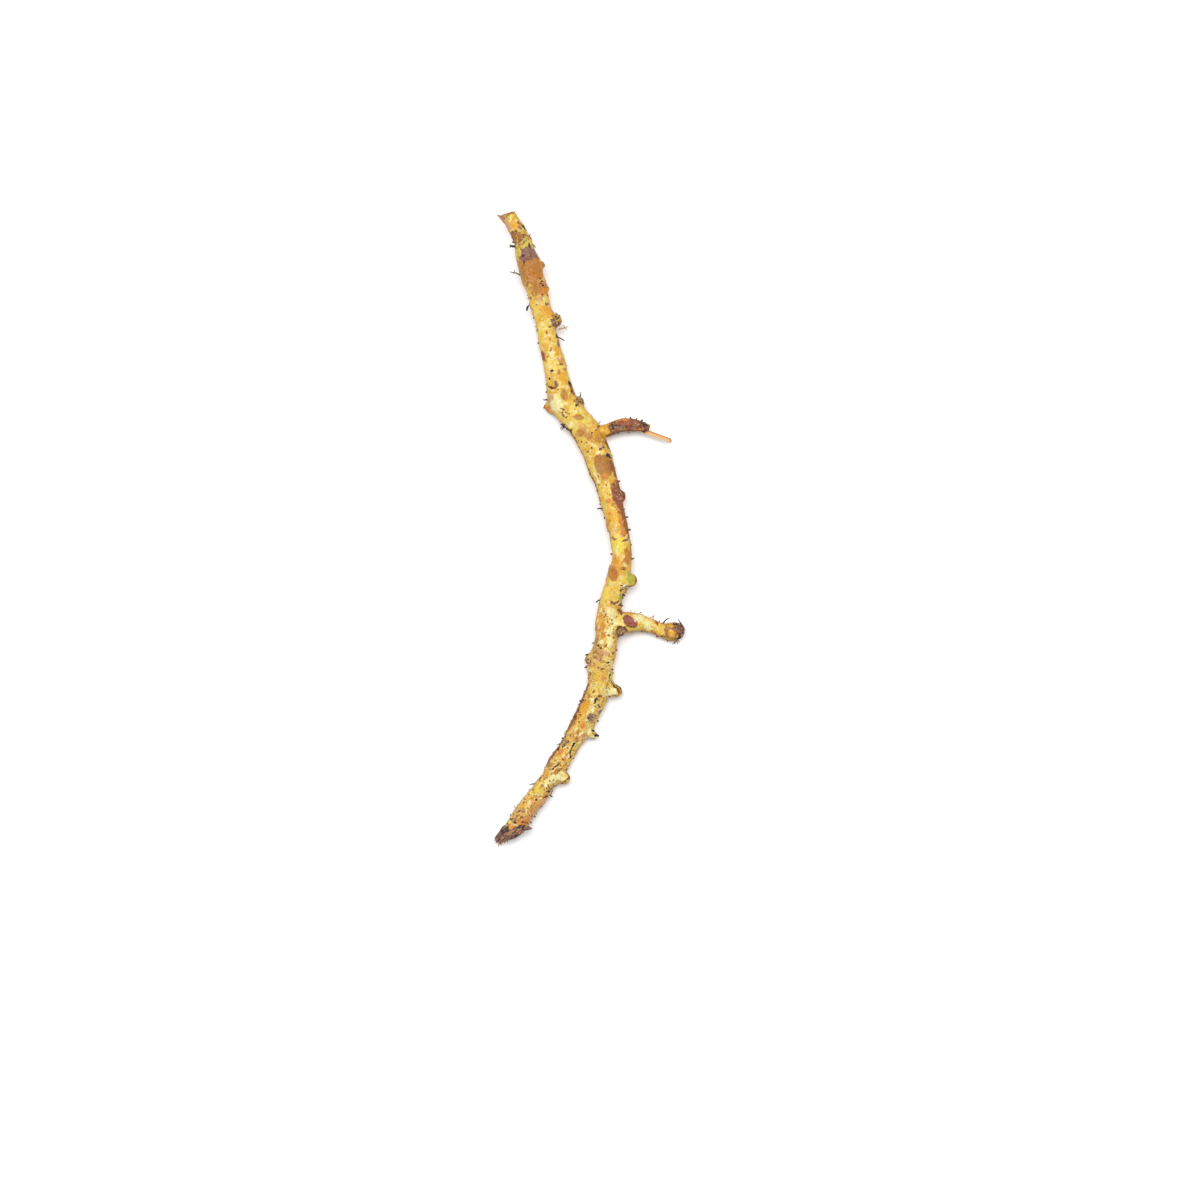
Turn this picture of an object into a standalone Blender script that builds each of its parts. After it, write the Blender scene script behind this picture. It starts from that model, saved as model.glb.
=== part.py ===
"""Licorice root: one length of creeping rootstock with two side branches, lying on a flat surface.

The stem runs from its torn upper end at +Y to its scaly growing tip at -Y. All sizes below are in
millimetres, and MM turns them into metres. The origin is on the surface that the root lies on,
under the middle of its length and width.
"""

import math
import random

import bmesh
import bpy
import numpy as np
from mathutils import Matrix, Vector, noise

MM = 0.001

# Driving dimensions: where the middle of each strand runs, and how thick it is there.
# Each station is x, y, height of the middle above the surface, radius.

STEM = [
    (-26.8, 97.0, 11.0, 2.3), (-24.8, 93.8, 10.6, 2.35), (-22.0, 89.2, 9.8, 2.5),
    (-20.2, 85.1, 9.2, 2.75), (-19.4, 81.8, 8.6, 3.1), (-18.3, 78.8, 8.0, 3.45),
    (-17.5, 75.3, 7.4, 3.5), (-16.2, 71.7, 6.9, 3.2), (-15.3, 67.8, 6.4, 3.05),
    (-14.2, 63.1, 5.9, 2.85), (-12.8, 57.4, 5.3, 3.05), (-11.6, 52.0, 4.9, 3.2),
    (-10.2, 46.0, 4.6, 3.5), (-9.2, 41.1, 4.5, 4.0), (-8.1, 37.5, 4.5, 4.3),
    (-5.0, 33.4, 4.5, 4.25), (-1.5, 29.2, 4.6, 4.3), (1.5, 23.4, 4.8, 4.2),
    (3.1, 18.4, 5.0, 3.95), (4.9, 13.6, 5.3, 3.6), (6.0, 8.5, 5.6, 3.3),
    (7.3, 3.6, 5.9, 3.15), (8.4, -1.0, 6.2, 3.2), (9.2, -5.8, 6.3, 3.0),
    (9.4, -9.4, 6.3, 2.95), (8.8, -12.7, 6.2, 3.3), (7.9, -16.6, 6.0, 3.5),
    (6.4, -20.5, 5.8, 3.2), (5.6, -24.9, 5.5, 3.65), (5.2, -29.0, 5.2, 3.8),
    (4.7, -33.4, 4.9, 3.55), (3.9, -37.5, 4.7, 3.8), (2.9, -41.5, 4.5, 3.65),
    (3.0, -45.4, 4.3, 3.7), (1.5, -50.5, 4.1, 3.7), (-0.9, -55.3, 3.7, 3.45),
    (-3.5, -60.5, 3.3, 3.3), (-6.5, -65.8, 2.9, 3.05), (-9.7, -70.6, 3.1, 3.25),
    (-12.3, -75.1, 3.6, 2.8), (-15.2, -79.3, 4.1, 3.05), (-18.3, -83.2, 4.5, 3.0),
    (-21.2, -87.3, 4.8, 2.9), (-22.8, -90.0, 4.9, 2.85), (-25.9, -92.3, 5.0, 2.0),
    (-28.2, -94.1, 5.0, 1.1),
]

UPPER_BRANCH = [
    (1.0, 28.0, 4.6, 2.2), (3.4, 28.9, 4.9, 2.0), (5.8, 29.8, 5.1, 2.0),
    (9.4, 31.0, 5.3, 1.9), (13.6, 30.9, 5.3, 1.8), (16.3, 30.3, 5.2, 1.35),
    (17.6, 29.8, 5.1, 0.8),
]

LOWER_BRANCH = [
    (5.4, -28.0, 5.2, 3.4), (9.0, -28.2, 5.1, 3.3), (11.2, -28.3, 4.9, 3.1),
    (13.6, -28.2, 4.5, 2.7), (16.3, -28.7, 3.9, 2.3), (19.3, -29.7, 3.2, 2.15),
    (21.7, -30.7, 2.75, 2.25), (24.4, -31.1, 2.6, 2.75), (26.4, -31.0, 2.6, 2.4),
    (28.2, -31.1, 2.6, 1.3),
]

# Knobs are the bases of old leaf stalks. Each is its root and its tip (x, y, height), with the
# radius at either end. The elbow knob is one of the three spots that the whole root rests on.

KNOBS = {
    "first_bump": ((-20.8, 86.6, 9.2), (-18.6, 86.2, 9.6), 1.9, 1.25),
    "upper_shoulder": ((-18.6, 80.4, 8.4), (-14.5, 78.6, 8.6), 2.4, 0.7),
    "second_shoulder": ((-17.0, 73.8, 7.2), (-13.0, 71.6, 7.4), 2.5, 0.75),
    "crusted_lump": ((-14.0, 63.2, 6.0), (-11.2, 62.1, 7.1), 2.8, 2.5),
    "elbow": ((-8.6, 37.6, 4.2), (-11.2, 36.8, 2.2), 3.9, 2.6),
    "elbow_corner": ((-11.6, 37.2, 2.8), (-14.2, 36.3, 3.0), 1.9, 0.45),
    "elbow_lump": ((-6.6, 37.2, 4.8), (-3.9, 37.6, 5.6), 2.4, 2.0),
    "brown_bulge": ((6.2, 9.6, 5.6), (8.3, 9.5, 5.9), 3.1, 2.1),
    "green_knob": ((8.8, -15.0, 6.1), (12.0, -15.6, 6.4), 2.9, 2.0),
    "stub_on_top": ((6.6, -30.0, 6.4), (9.2, -30.9, 9.3), 1.6, 1.35),
    "left_scab": ((1.4, -38.4, 4.6), (-0.5, -39.3, 4.5), 2.3, 1.3),
    "right_stub": ((3.6, -47.6, 4.3), (7.6, -48.9, 4.7), 3.2, 1.8),
    "pointed_knob": ((-3.2, -59.8, 3.5), (1.1, -62.1, 4.0), 2.6, 0.95),
    "tip_knob": ((-11.2, -73.4, 3.6), (-8.1, -75.0, 3.9), 2.8, 1.8),
}

# Leaf scars that show from above: x, y, length along the strand, width across it.

STEM_SCARS = [
    (-16.8, 78.0, 9.0, 6.0), (-11.6, 42.7, 2.8, 3.1), (-7.6, 40.0, 3.9, 2.7),
    (-3.6, 33.1, 1.9, 3.3), (3.7, 18.4, 7.2, 5.1), (9.3, -12.4, 1.4, 1.4),
    (6.6, -13.9, 4.5, 3.1), (0.1, -56.7, 3.0, 2.4), (-16.6, -78.8, 5.5, 2.6),
]
BRANCH_SCARS = [(12.0, -27.9, 4.8, 3.0)]

# Scars on the flanks: share of the stem's length, degrees round the stem from its top (the
# right-hand side is positive), length along, width across.

FLANK_SCARS = [
    (0.16, -75, 4.0, 3.0), (0.24, 105, 3.6, 2.8), (0.36, 70, 4.4, 3.2),
    (0.42, -95, 4.0, 3.0), (0.49, -60, 3.4, 2.6), (0.57, -110, 4.2, 3.0),
    (0.64, 95, 3.6, 2.6), (0.71, -80, 4.0, 2.8), (0.79, 80, 3.4, 2.6),
    (0.86, -70, 3.4, 2.4),
]

# Grooves where one season's growth ends: share of the stem's length, depth.

GROWTH_RINGS = [
    (0.060, 0.16), (0.112, 0.22), (0.175, 0.12), (0.300, 0.10), (0.432, 0.14),
    (0.505, 0.22), (0.585, 0.12), (0.655, 0.14), (0.735, 0.12), (0.820, 0.16),
    (0.905, 0.18),
]
RING_WIDTH = 1.1

SCAR_RIM = 0.20          # how far a scar's rim stands up
SCAR_RIM_WIDTH = 0.28    # the rim's width, as a share of the scar's radius
SCAR_DISH = 0.24         # how deep its middle lies
LUMP_HEIGHT = 0.30       # slow swelling of the skin
LUMP_SIZE = 6.5
SKIN_REACH = 1.6         # relief fades out this far from a strand, so the knobs keep their form

# Rootlets seen against the ground: foot (x, y), tip (x, y), both at the height of the strand.

SEEN_ROOTLETS = [
    ((-23.0, 84.3), (-25.0, 84.4)), ((-20.5, 76.2), (-24.2, 76.8)),
    ((-17.2, 67.8), (-19.3, 65.6)), ((-10.0, 58.6), (-7.4, 58.9)),
    ((-9.4, 57.0), (-7.4, 56.0)), ((-12.8, 38.6), (-14.6, 39.2)),
    ((-6.8, 30.6), (-8.8, 30.4)), ((-5.9, 29.8), (-7.2, 28.6)),
    ((5.0, 5.9), (3.1, 6.5)), ((11.8, -9.2), (13.4, -8.7)),
    ((3.6, -21.0), (1.6, -21.8)), ((21.4, -28.8), (23.8, -26.8)),
    ((26.6, -28.9), (26.0, -27.0)), ((24.6, -33.4), (23.8, -35.2)),
    ((15.0, -25.9), (15.6, -24.7)), ((18.0, -27.3), (18.6, -26.2)),
    ((-15.2, -76.4), (-18.7, -77.0)), ((-2.8, -52.4), (-4.0, -51.6)),
    ((-8.2, -61.6), (-9.6, -61.2)), ((10.6, -17.8), (12.6, -19.2)),
]
SEEN_DROOP = 0.3         # how far a seen rootlet's tip hangs below its foot

# Rootlets that clothe the underside and the flanks, drawn by rule from a seed.

ROOTLET_COUNT = 54
ROOTLET_SEED = 11
ROOTLET_FOOT = 0.45      # radius in the flesh
ROOTLET_TIP = 0.16       # radius at the broken end
ROOTLET_SINK = 1.3       # how deep each foot sits in the flesh
ROOTLET_SIDES = 5
ROOTLET_LENGTHS = (0.6, 1.8)
ROOTLET_SPREAD = 95      # degrees to either side of the stem's underside
SURFACE_CLEARANCE = 0.6  # no rootlet's tip is nearer than this to the surface

# The torn upper end, the splinter of the upper branch, and other broken bits. A bit is its foot
# and tip (x, y, height) and the radius at either end.

TORN_FACE = (-24.8, 93.7, 10.6)
TORN_FACE_LOOKS = (-0.30, 0.93, 0.22)
SPLINTER = ((13.6, 30.0, 4.7), (24.3, 26.2, 3.9))
SPLINTER_WIDTH = 1.3
SPLINTER_THICKNESS = 0.9
BROKEN_BITS = {
    "torn_flap": ((-25.8, 91.8, 10.6), (-27.4, 93.1, 10.8), 0.8, 0.2),
    "collar_flake": ((-20.6, -88.6, 5.0), (-17.4, -90.2, 5.1), 0.8, 0.2),
    "long_prong": ((0.2, -61.8, 4.0), (2.6, -62.4, 4.2), 0.7, 0.25),
    "short_prong": ((0.0, -60.9, 4.4), (1.3, -60.7, 4.8), 0.6, 0.2),
}

# Pointed scales that overlap round the growing tip: place (x, y), degrees round from the top,
# length.

TIP_SCALES = [
    ((-20.6, -87.6), 20, 3.2), ((-20.6, -87.6), 75, 3.2), ((-20.6, -87.6), -50, 3.2),
    ((-20.6, -87.6), 150, 3.2), ((-20.6, -87.6), -120, 3.2), ((-22.8, -90.0), 0, 3.0),
    ((-22.8, -90.0), 60, 3.0), ((-22.8, -90.0), -80, 3.0), ((-22.8, -90.0), 130, 3.0),
    ((-25.0, -91.6), 25, 2.4), ((-25.0, -91.6), -45, 2.4), ((-25.0, -91.6), 110, 2.4),
]
SCALE_HALF_WIDTH = 1.15
SCALE_HALF_THICKNESS = 0.45
SCALE_LIFT = 0.25

# How finely the solid is made.

VOXEL = 0.42
SMOOTHING_PASSES = 6
BODY_TRIANGLES = 8400
STEP_ALONG = 0.8
TUBE_ROUNDNESS = 7

SKIN_COLOUR = (0.72, 0.47, 0.13, 1.0)
SKIN_ROUGHNESS = 0.55


def clear_scene():
    for old in list(bpy.data.objects):
        bpy.data.objects.remove(old, do_unlink=True)


def new_collection(name):
    collection = bpy.data.collections.new(name)
    bpy.context.scene.collection.children.link(collection)
    return collection


def smooth_run(stations):
    """Stations of a smooth curve through the given ones (Catmull-Rom), a short step apart."""
    knots = np.array(stations, float)
    before_first = 2 * knots[0] - knots[1]
    after_last = 2 * knots[-1] - knots[-2]
    knots = np.vstack([before_first, knots, after_last])
    run = []
    for i in range(1, len(knots) - 2):
        before, start, end, after = knots[i - 1:i + 3]
        count = max(2, math.ceil(np.linalg.norm(end[:3] - start[:3]) / STEP_ALONG))
        for u in np.arange(count) / count:
            run.append(0.5 * (2 * start + (end - before) * u
                              + (2 * before - 5 * start + 4 * end - after) * u ** 2
                              + (3 * start - before - 3 * end + after) * u ** 3))
    run.append(knots[-2])
    return np.array(run)


def frames_along(run):
    """Distance, direction, right-hand and upward normals at each station of a smooth run."""
    middle = run[:, :3]
    along = np.gradient(middle, axis=0)
    along /= np.linalg.norm(along, axis=1)[:, None]
    right = np.cross((0.0, 0.0, 1.0), along)
    right /= np.linalg.norm(right, axis=1)[:, None]
    up = np.cross(along, right)
    gaps = np.linalg.norm(np.diff(middle, axis=0), axis=1)
    distance = np.concatenate([[0.0], np.cumsum(gaps)])
    return distance, along, right, up


def outward_at(run, station, degrees):
    """Direction out of a strand at a station, by degrees round from its top."""
    along, right, up = frames_along(run)[1:]
    turn = math.radians(degrees)
    return right[station] * math.sin(turn) + up[station] * math.cos(turn)


def nearest_from_above(run, x, y):
    return int(np.argmin(np.hypot(run[:, 0] - x, run[:, 1] - y)))


def weld(solid):
    shape = bmesh.new()
    shape.from_mesh(solid.data)
    bmesh.ops.remove_doubles(shape, verts=shape.verts, dist=0.00001)
    bmesh.ops.recalc_face_normals(shape, faces=shape.faces)
    shape.to_mesh(solid.data)
    shape.free()


def tube(name, run, collection):
    """A closed mesh tube along stations of x, y, height, radius."""
    curve = bpy.data.curves.new(name, "CURVE")
    curve.dimensions = "3D"
    curve.bevel_depth = MM
    curve.bevel_resolution = TUBE_ROUNDNESS
    curve.use_fill_caps = True
    spline = curve.splines.new("POLY")
    spline.points.add(len(run) - 1)
    for point, (x, y, height, radius) in zip(spline.points, run):
        point.co = (x * MM, y * MM, height * MM, 1.0)
        point.radius = radius
    line = bpy.data.objects.new(name + "_line", curve)
    collection.objects.link(line)
    depsgraph = bpy.context.evaluated_depsgraph_get()
    mesh = bpy.data.meshes.new_from_object(line.evaluated_get(depsgraph))
    solid = bpy.data.objects.new(name, mesh)
    solid.matrix_world = line.matrix_world
    collection.objects.link(solid)
    bpy.data.objects.remove(line, do_unlink=True)
    weld(solid)
    return solid


def knob(name, foot, tip, foot_radius, tip_radius, collection):
    """A stub with a rounded end, from inside a strand out to its tip."""
    foot = np.array(foot)
    tip = np.array(tip)
    outward = (tip - foot) / np.linalg.norm(tip - foot)
    waist = 0.6 * foot + 0.4 * tip
    waist_radius = 0.55 * foot_radius + 0.45 * tip_radius
    run = [(*foot, foot_radius), (*waist, waist_radius), (*tip, tip_radius)]
    for degrees in (25, 50, 72, 88):
        turn = math.radians(degrees)
        beyond = tip + outward * tip_radius * math.sin(turn)
        run.append((*beyond, tip_radius * math.cos(turn)))
    return tube(name, run, collection)


def freeze(solid):
    """Make an object's modifiers part of its mesh."""
    depsgraph = bpy.context.evaluated_depsgraph_get()
    mesh = bpy.data.meshes.new_from_object(solid.evaluated_get(depsgraph))
    old = solid.data
    solid.modifiers.clear()
    solid.data = mesh
    bpy.data.meshes.remove(old)


def join(name, pieces, collection):
    """One object that holds the meshes of all the pieces."""
    shape = bmesh.new()
    for piece in pieces:
        shape.from_mesh(piece.data)
    mesh = bpy.data.meshes.new(name)
    shape.to_mesh(mesh)
    shape.free()
    for piece in pieces:
        bpy.data.objects.remove(piece, do_unlink=True)
    joined = bpy.data.objects.new(name, mesh)
    collection.objects.link(joined)
    return joined


def grow_together(pieces, collection):
    """Fuse the strands and knobs, with soft hollows where they meet."""
    body = join("root", pieces, collection)
    remesh = body.modifiers.new("grown_together", "REMESH")
    remesh.mode = "VOXEL"
    remesh.voxel_size = VOXEL * MM
    soften = body.modifiers.new("soften", "SMOOTH")
    soften.factor = 0.5
    soften.iterations = SMOOTHING_PASSES
    freeze(body)
    return body


def nearest_stations(points, run):
    """For each point, the run's nearest station and how far outside the strand the point is."""
    nearest = np.empty(len(points), int)
    outside = np.empty(len(points))
    block_size = 4000
    for start in range(0, len(points), block_size):
        block = slice(start, start + block_size)
        gap = np.linalg.norm(points[block, None, :] - run[None, :, :3], axis=2) - run[None, :, 3]
        nearest[block] = np.argmin(gap, axis=1)
        outside[block] = np.min(gap, axis=1)
    return nearest, outside


def scar_height(rim_distance):
    """Height of a scar's relief: a raised rim at distance 1 round a shallow dish."""
    rim = SCAR_RIM * np.exp(-((rim_distance - 1.0) / SCAR_RIM_WIDTH) ** 2)
    dish = SCAR_DISH * np.clip(1.0 - rim_distance ** 2, 0.0, None)
    return rim - dish


def placed_from_above(run, scars):
    """Scars given by x and y, as station, turn from the top, length and width."""
    right = frames_along(run)[2]
    placed = []
    for x, y, length, width in scars:
        station = nearest_from_above(run, x, y)
        aside = (x - run[station, 0]) * right[station, 0] + (y - run[station, 1]) * right[station, 1]
        lean = max(-0.95, min(0.95, aside / run[station, 3]))
        placed.append((station, math.asin(lean), length, width))
    return placed


def placed_by_share(run, scars):
    """Scars given by share of the length and degrees, as station, turn, length and width."""
    distance = frames_along(run)[0]
    placed = []
    for share, degrees, length, width in scars:
        station = int(np.searchsorted(distance, share * distance[-1]))
        placed.append((station, math.radians(degrees), length, width))
    return placed


def relief(points, nearest, outside, run, scars, rings):
    """How far each point of the skin stands out, from scars and growth rings."""
    distance, along, right, up = frames_along(run)
    offset = points - run[nearest, :3]
    travelled = distance[nearest] + np.einsum("ij,ij->i", offset, along[nearest])
    turn = np.arctan2(np.einsum("ij,ij->i", offset, right[nearest]),
                      np.einsum("ij,ij->i", offset, up[nearest]))
    height = np.zeros(len(points))
    for station, scar_turn, length, width in scars:
        sweep = (turn - scar_turn + math.pi) % (2 * math.pi) - math.pi
        away = np.hypot((travelled - distance[station]) / (length / 2),
                        sweep * run[station, 3] / (width / 2))
        height += scar_height(away)
    for share, depth in rings:
        away = (travelled - share * distance[-1]) / RING_WIDTH
        height -= depth * np.exp(-away ** 2)
    return height * np.exp(-(np.clip(outside, 0.0, None) / SKIN_REACH) ** 2)


def skin_lumps(points):
    return np.array([noise.noise(Vector(point / LUMP_SIZE)) * LUMP_HEIGHT for point in points])


def raise_relief(body, strands):
    """Move the skin in and out along its normals by the relief of the nearest strand."""
    mesh = body.data
    count = len(mesh.vertices)
    points = np.empty(count * 3)
    normals = np.empty(count * 3)
    mesh.vertices.foreach_get("co", points)
    mesh.vertex_normals.foreach_get("vector", normals)
    points = points.reshape(-1, 3) / MM
    normals = normals.reshape(-1, 3)
    found = [nearest_stations(points, run) for run, scars, rings in strands]
    owner = np.argmin([outside for nearest, outside in found], axis=0)
    height = skin_lumps(points)
    for index, (run, scars, rings) in enumerate(strands):
        mine = owner == index
        nearest, outside = found[index]
        height[mine] += relief(points[mine], nearest[mine], outside[mine], run, scars, rings)
    moved = (points + normals * height[:, None]) * MM
    mesh.vertices.foreach_set("co", moved.ravel())
    mesh.update()


def thin_out(body):
    """Fewer faces where the skin is plain."""
    triangles = sum(len(face.vertices) - 2 for face in body.data.polygons)
    decimate = body.modifiers.new("fewer_faces", "DECIMATE")
    decimate.ratio = BODY_TRIANGLES / triangles
    decimate.use_collapse_triangulate = True
    freeze(body)


def box_cutter(name, face, size, away, collection):
    """A box that stands on the face point and reaches away from the part."""
    bpy.ops.mesh.primitive_cube_add(size=1.0)
    box = bpy.context.active_object
    box.name = name
    for owner in list(box.users_collection):
        owner.objects.unlink(box)
    collection.objects.link(box)
    turn = Vector(away).to_track_quat("Z", "Y").to_matrix().to_4x4()
    place = Matrix.Translation(Vector(face) * MM)
    grow = Matrix.Scale(size * MM, 4)
    lift = Matrix.Translation((0.0, 0.0, 0.5))
    box.data.transform(place @ turn @ grow @ lift)
    box.hide_render = True
    box.display_type = "WIRE"
    return box


def cut(body, cutter):
    difference = body.modifiers.new(cutter.name, "BOOLEAN")
    difference.operation = "DIFFERENCE"
    difference.object = cutter
    freeze(body)


def add_mesh(name, shape, collection):
    mesh = bpy.data.meshes.new(name)
    shape.to_mesh(mesh)
    shape.free()
    collection.objects.link(bpy.data.objects.new(name, mesh))


def rootlet(name, foot, tip, collection, foot_radius=ROOTLET_FOOT, tip_radius=ROOTLET_TIP):
    """A short stiff rootlet, thinner at its broken end."""
    foot = Vector(foot) * MM
    tip = Vector(tip) * MM
    shape = bmesh.new()
    bmesh.ops.create_cone(shape, cap_ends=True, segments=ROOTLET_SIDES, radius1=foot_radius * MM,
                          radius2=tip_radius * MM, depth=(tip - foot).length)
    turn = (tip - foot).to_track_quat("Z", "Y").to_matrix().to_4x4()
    shape.transform(Matrix.Translation((foot + tip) / 2) @ turn)
    add_mesh(name, shape, collection)


def add_seen_rootlets(runs, collection):
    every = np.vstack(runs)
    for index, (foot, tip) in enumerate(SEEN_ROOTLETS):
        level = every[nearest_from_above(every, *foot), 2]
        start = np.array((*foot, level))
        end = np.array((*tip, max(level - SEEN_DROOP, SURFACE_CLEARANCE)))
        outward = (end - start) / np.linalg.norm(end - start)
        rootlet(f"seen_rootlet_{index}", start - outward * ROOTLET_SINK, end, collection)


def add_drawn_rootlets(stem, collection):
    """Rootlets on the underside and low on the flanks, thicker set towards the growing tip."""
    draw = random.Random(ROOTLET_SEED)
    distance, along, right, up = frames_along(stem)
    made = 0
    while made < ROOTLET_COUNT:
        share = 0.05 + 0.9 * draw.random() ** 0.75
        degrees = 180 + draw.uniform(-ROOTLET_SPREAD, ROOTLET_SPREAD)
        length = draw.uniform(*ROOTLET_LENGTHS)
        lean = draw.uniform(-0.5, 0.5)
        station = int(np.searchsorted(distance, share * distance[-1]))
        out = outward_at(stem, station, degrees)
        heading = out + lean * along[station]
        heading /= np.linalg.norm(heading)
        radius = stem[station, 3]
        foot = stem[station, :3] + out * (radius - ROOTLET_SINK)
        tip = stem[station, :3] + out * radius + heading * length
        if tip[2] > SURFACE_CLEARANCE:
            rootlet(f"rootlet_{made}", foot, tip, collection)
            made += 1


def add_splinter(collection):
    """The long pale splinter left where the upper branch was torn."""
    start = Vector(SPLINTER[0])
    end = Vector(SPLINTER[1])
    shape = bmesh.new()
    bmesh.ops.create_cube(shape, size=1.0)
    for vertex in shape.verts:
        taper = 0.8 if vertex.co.z > 0 else 1.0
        vertex.co.x *= SPLINTER_WIDTH * taper
        vertex.co.y *= SPLINTER_THICKNESS * taper
        vertex.co.z *= (end - start).length
    turn = (end - start).to_track_quat("Z", "Y").to_matrix().to_4x4()
    shape.transform(Matrix.Scale(MM, 4) @ Matrix.Translation((start + end) / 2) @ turn)
    add_mesh("splinter", shape, collection)


def add_tip_scales(stem, collection):
    """Stiff pointed scales that overlap round the growing tip, flat against it."""
    along = frames_along(stem)[1]
    for index, ((x, y), degrees, length) in enumerate(TIP_SCALES):
        station = nearest_from_above(stem, x, y)
        end_station = nearest_from_above(stem, *(stem[station, :2] + along[station, :2] * length))
        out = outward_at(stem, station, degrees)
        end_out = outward_at(stem, end_station, degrees)
        foot = stem[station, :3] + out * (stem[station, 3] - SCALE_HALF_THICKNESS)
        tip = stem[end_station, :3] + end_out * (stem[end_station, 3] + SCALE_LIFT)
        heading = Vector(tip - foot).normalized()
        thin = (Vector(out) - heading * heading.dot(Vector(out))).normalized()
        across = heading.cross(thin)
        turn = Matrix((across, thin, heading)).transposed().to_4x4()
        shape = bmesh.new()
        bmesh.ops.create_cone(shape, cap_ends=True, segments=6, radius1=1.0, radius2=0.3,
                              depth=float(np.linalg.norm(tip - foot)))
        for vertex in shape.verts:
            vertex.co.x *= SCALE_HALF_WIDTH
            vertex.co.y *= SCALE_HALF_THICKNESS
        middle = Matrix.Translation(Vector((foot + tip) / 2))
        shape.transform(Matrix.Scale(MM, 4) @ middle @ turn)
        add_mesh(f"tip_scale_{index}", shape, collection)


def unite(body, repeats):
    """Fuse the rootlets, scales and splinter to the body, then drop their own objects."""
    union = body.modifiers.new("fuse_repeats", "BOOLEAN")
    union.operation = "UNION"
    union.operand_type = "COLLECTION"
    union.collection = repeats
    freeze(body)
    for piece in list(repeats.objects):
        bpy.data.objects.remove(piece, do_unlink=True)
    bpy.data.collections.remove(repeats)


def keep_largest_piece(body):
    """Drop any loose scrap that the cuts left."""
    shape = bmesh.new()
    shape.from_mesh(body.data)
    unseen = set(shape.verts)
    groups = []
    for first in shape.verts:
        if first not in unseen:
            continue
        unseen.remove(first)
        group = [first]
        for vertex in group:
            for edge in vertex.link_edges:
                other = edge.other_vert(vertex)
                if other in unseen:
                    unseen.remove(other)
                    group.append(other)
        groups.append(group)
    groups.sort(key=len)
    for scrap in groups[:-1]:
        bmesh.ops.delete(shape, geom=scrap, context="VERTS")
    bmesh.ops.triangulate(shape, faces=shape.faces)
    shape.to_mesh(body.data)
    shape.free()


def root_material():
    material = bpy.data.materials.new("root_skin")
    material.use_nodes = True
    skin = material.node_tree.nodes["Principled BSDF"]
    skin.inputs["Base Color"].default_value = SKIN_COLOUR
    skin.inputs["Roughness"].default_value = SKIN_ROUGHNESS
    skin.inputs["Metallic"].default_value = 0.0
    return material


def main():
    clear_scene()
    parts = new_collection("licorice_root")
    cutters = new_collection("cutters")
    repeats = new_collection("rootlets_and_scales")

    stem = smooth_run(STEM)
    upper = smooth_run(UPPER_BRANCH)
    lower = smooth_run(LOWER_BRANCH)
    pieces = [tube("stem", stem, parts), tube("upper_branch", upper, parts),
              tube("lower_branch", lower, parts)]
    for name, (foot, tip, foot_radius, tip_radius) in KNOBS.items():
        pieces.append(knob(name, foot, tip, foot_radius, tip_radius, parts))
    body = grow_together(pieces, parts)

    stem_scars = placed_from_above(stem, STEM_SCARS) + placed_by_share(stem, FLANK_SCARS)
    branch_scars = placed_from_above(lower, BRANCH_SCARS)
    raise_relief(body, [(stem, stem_scars, GROWTH_RINGS), (upper, [], []),
                        (lower, branch_scars, [])])
    thin_out(body)

    cut(body, box_cutter("resting_surface", (0.0, 0.0, 0.0), 300.0, (0.0, 0.0, -1.0), cutters))
    cut(body, box_cutter("torn_end", TORN_FACE, 12.0, TORN_FACE_LOOKS, cutters))

    add_seen_rootlets([stem, upper, lower], repeats)
    add_drawn_rootlets(stem, repeats)
    add_splinter(repeats)
    add_tip_scales(stem, repeats)
    for name, (foot, tip, foot_radius, tip_radius) in BROKEN_BITS.items():
        rootlet(name, foot, tip, repeats, foot_radius, tip_radius)
    unite(body, repeats)
    keep_largest_piece(body)

    body.data.materials.clear()
    body.data.materials.append(root_material())
    body.data.shade_smooth()


main()
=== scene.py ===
"""Licorice root: the looks of one length of creeping yellow rootstock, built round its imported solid.

The skin is grown from the same stations and knobs as the solid, only finer. Marks on the skin are
listed where they lie in the photograph's frame, which PIXEL turns into millimetres of the part.
"""

import math
import random

import bmesh
import bpy
import numpy as np
from mathutils import Matrix, Vector, noise
from mathutils.bvhtree import BVHTree


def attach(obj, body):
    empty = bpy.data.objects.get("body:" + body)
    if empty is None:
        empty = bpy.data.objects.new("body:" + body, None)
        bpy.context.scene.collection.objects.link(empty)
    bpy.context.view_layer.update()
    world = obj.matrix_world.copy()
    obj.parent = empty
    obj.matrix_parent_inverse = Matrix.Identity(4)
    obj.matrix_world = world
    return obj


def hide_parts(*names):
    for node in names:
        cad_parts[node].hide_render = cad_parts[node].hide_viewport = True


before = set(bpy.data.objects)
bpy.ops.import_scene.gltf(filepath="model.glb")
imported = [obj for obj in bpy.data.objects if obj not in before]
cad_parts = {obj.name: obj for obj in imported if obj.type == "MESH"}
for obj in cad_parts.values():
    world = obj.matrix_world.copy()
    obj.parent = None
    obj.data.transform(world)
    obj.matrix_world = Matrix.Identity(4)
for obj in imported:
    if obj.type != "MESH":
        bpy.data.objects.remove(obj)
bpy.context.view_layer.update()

MM = 0.001
PIXEL = 0.3                       # millimetres of the part to one pixel of the photograph
PHOTO_MIDDLE = (590.6, 528.5)     # the pixel that looks at the part's origin

# The root's form, as in the solid. Stations of each strand, in millimetres: x, y, height of the
# middle above the surface, radius.

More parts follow.
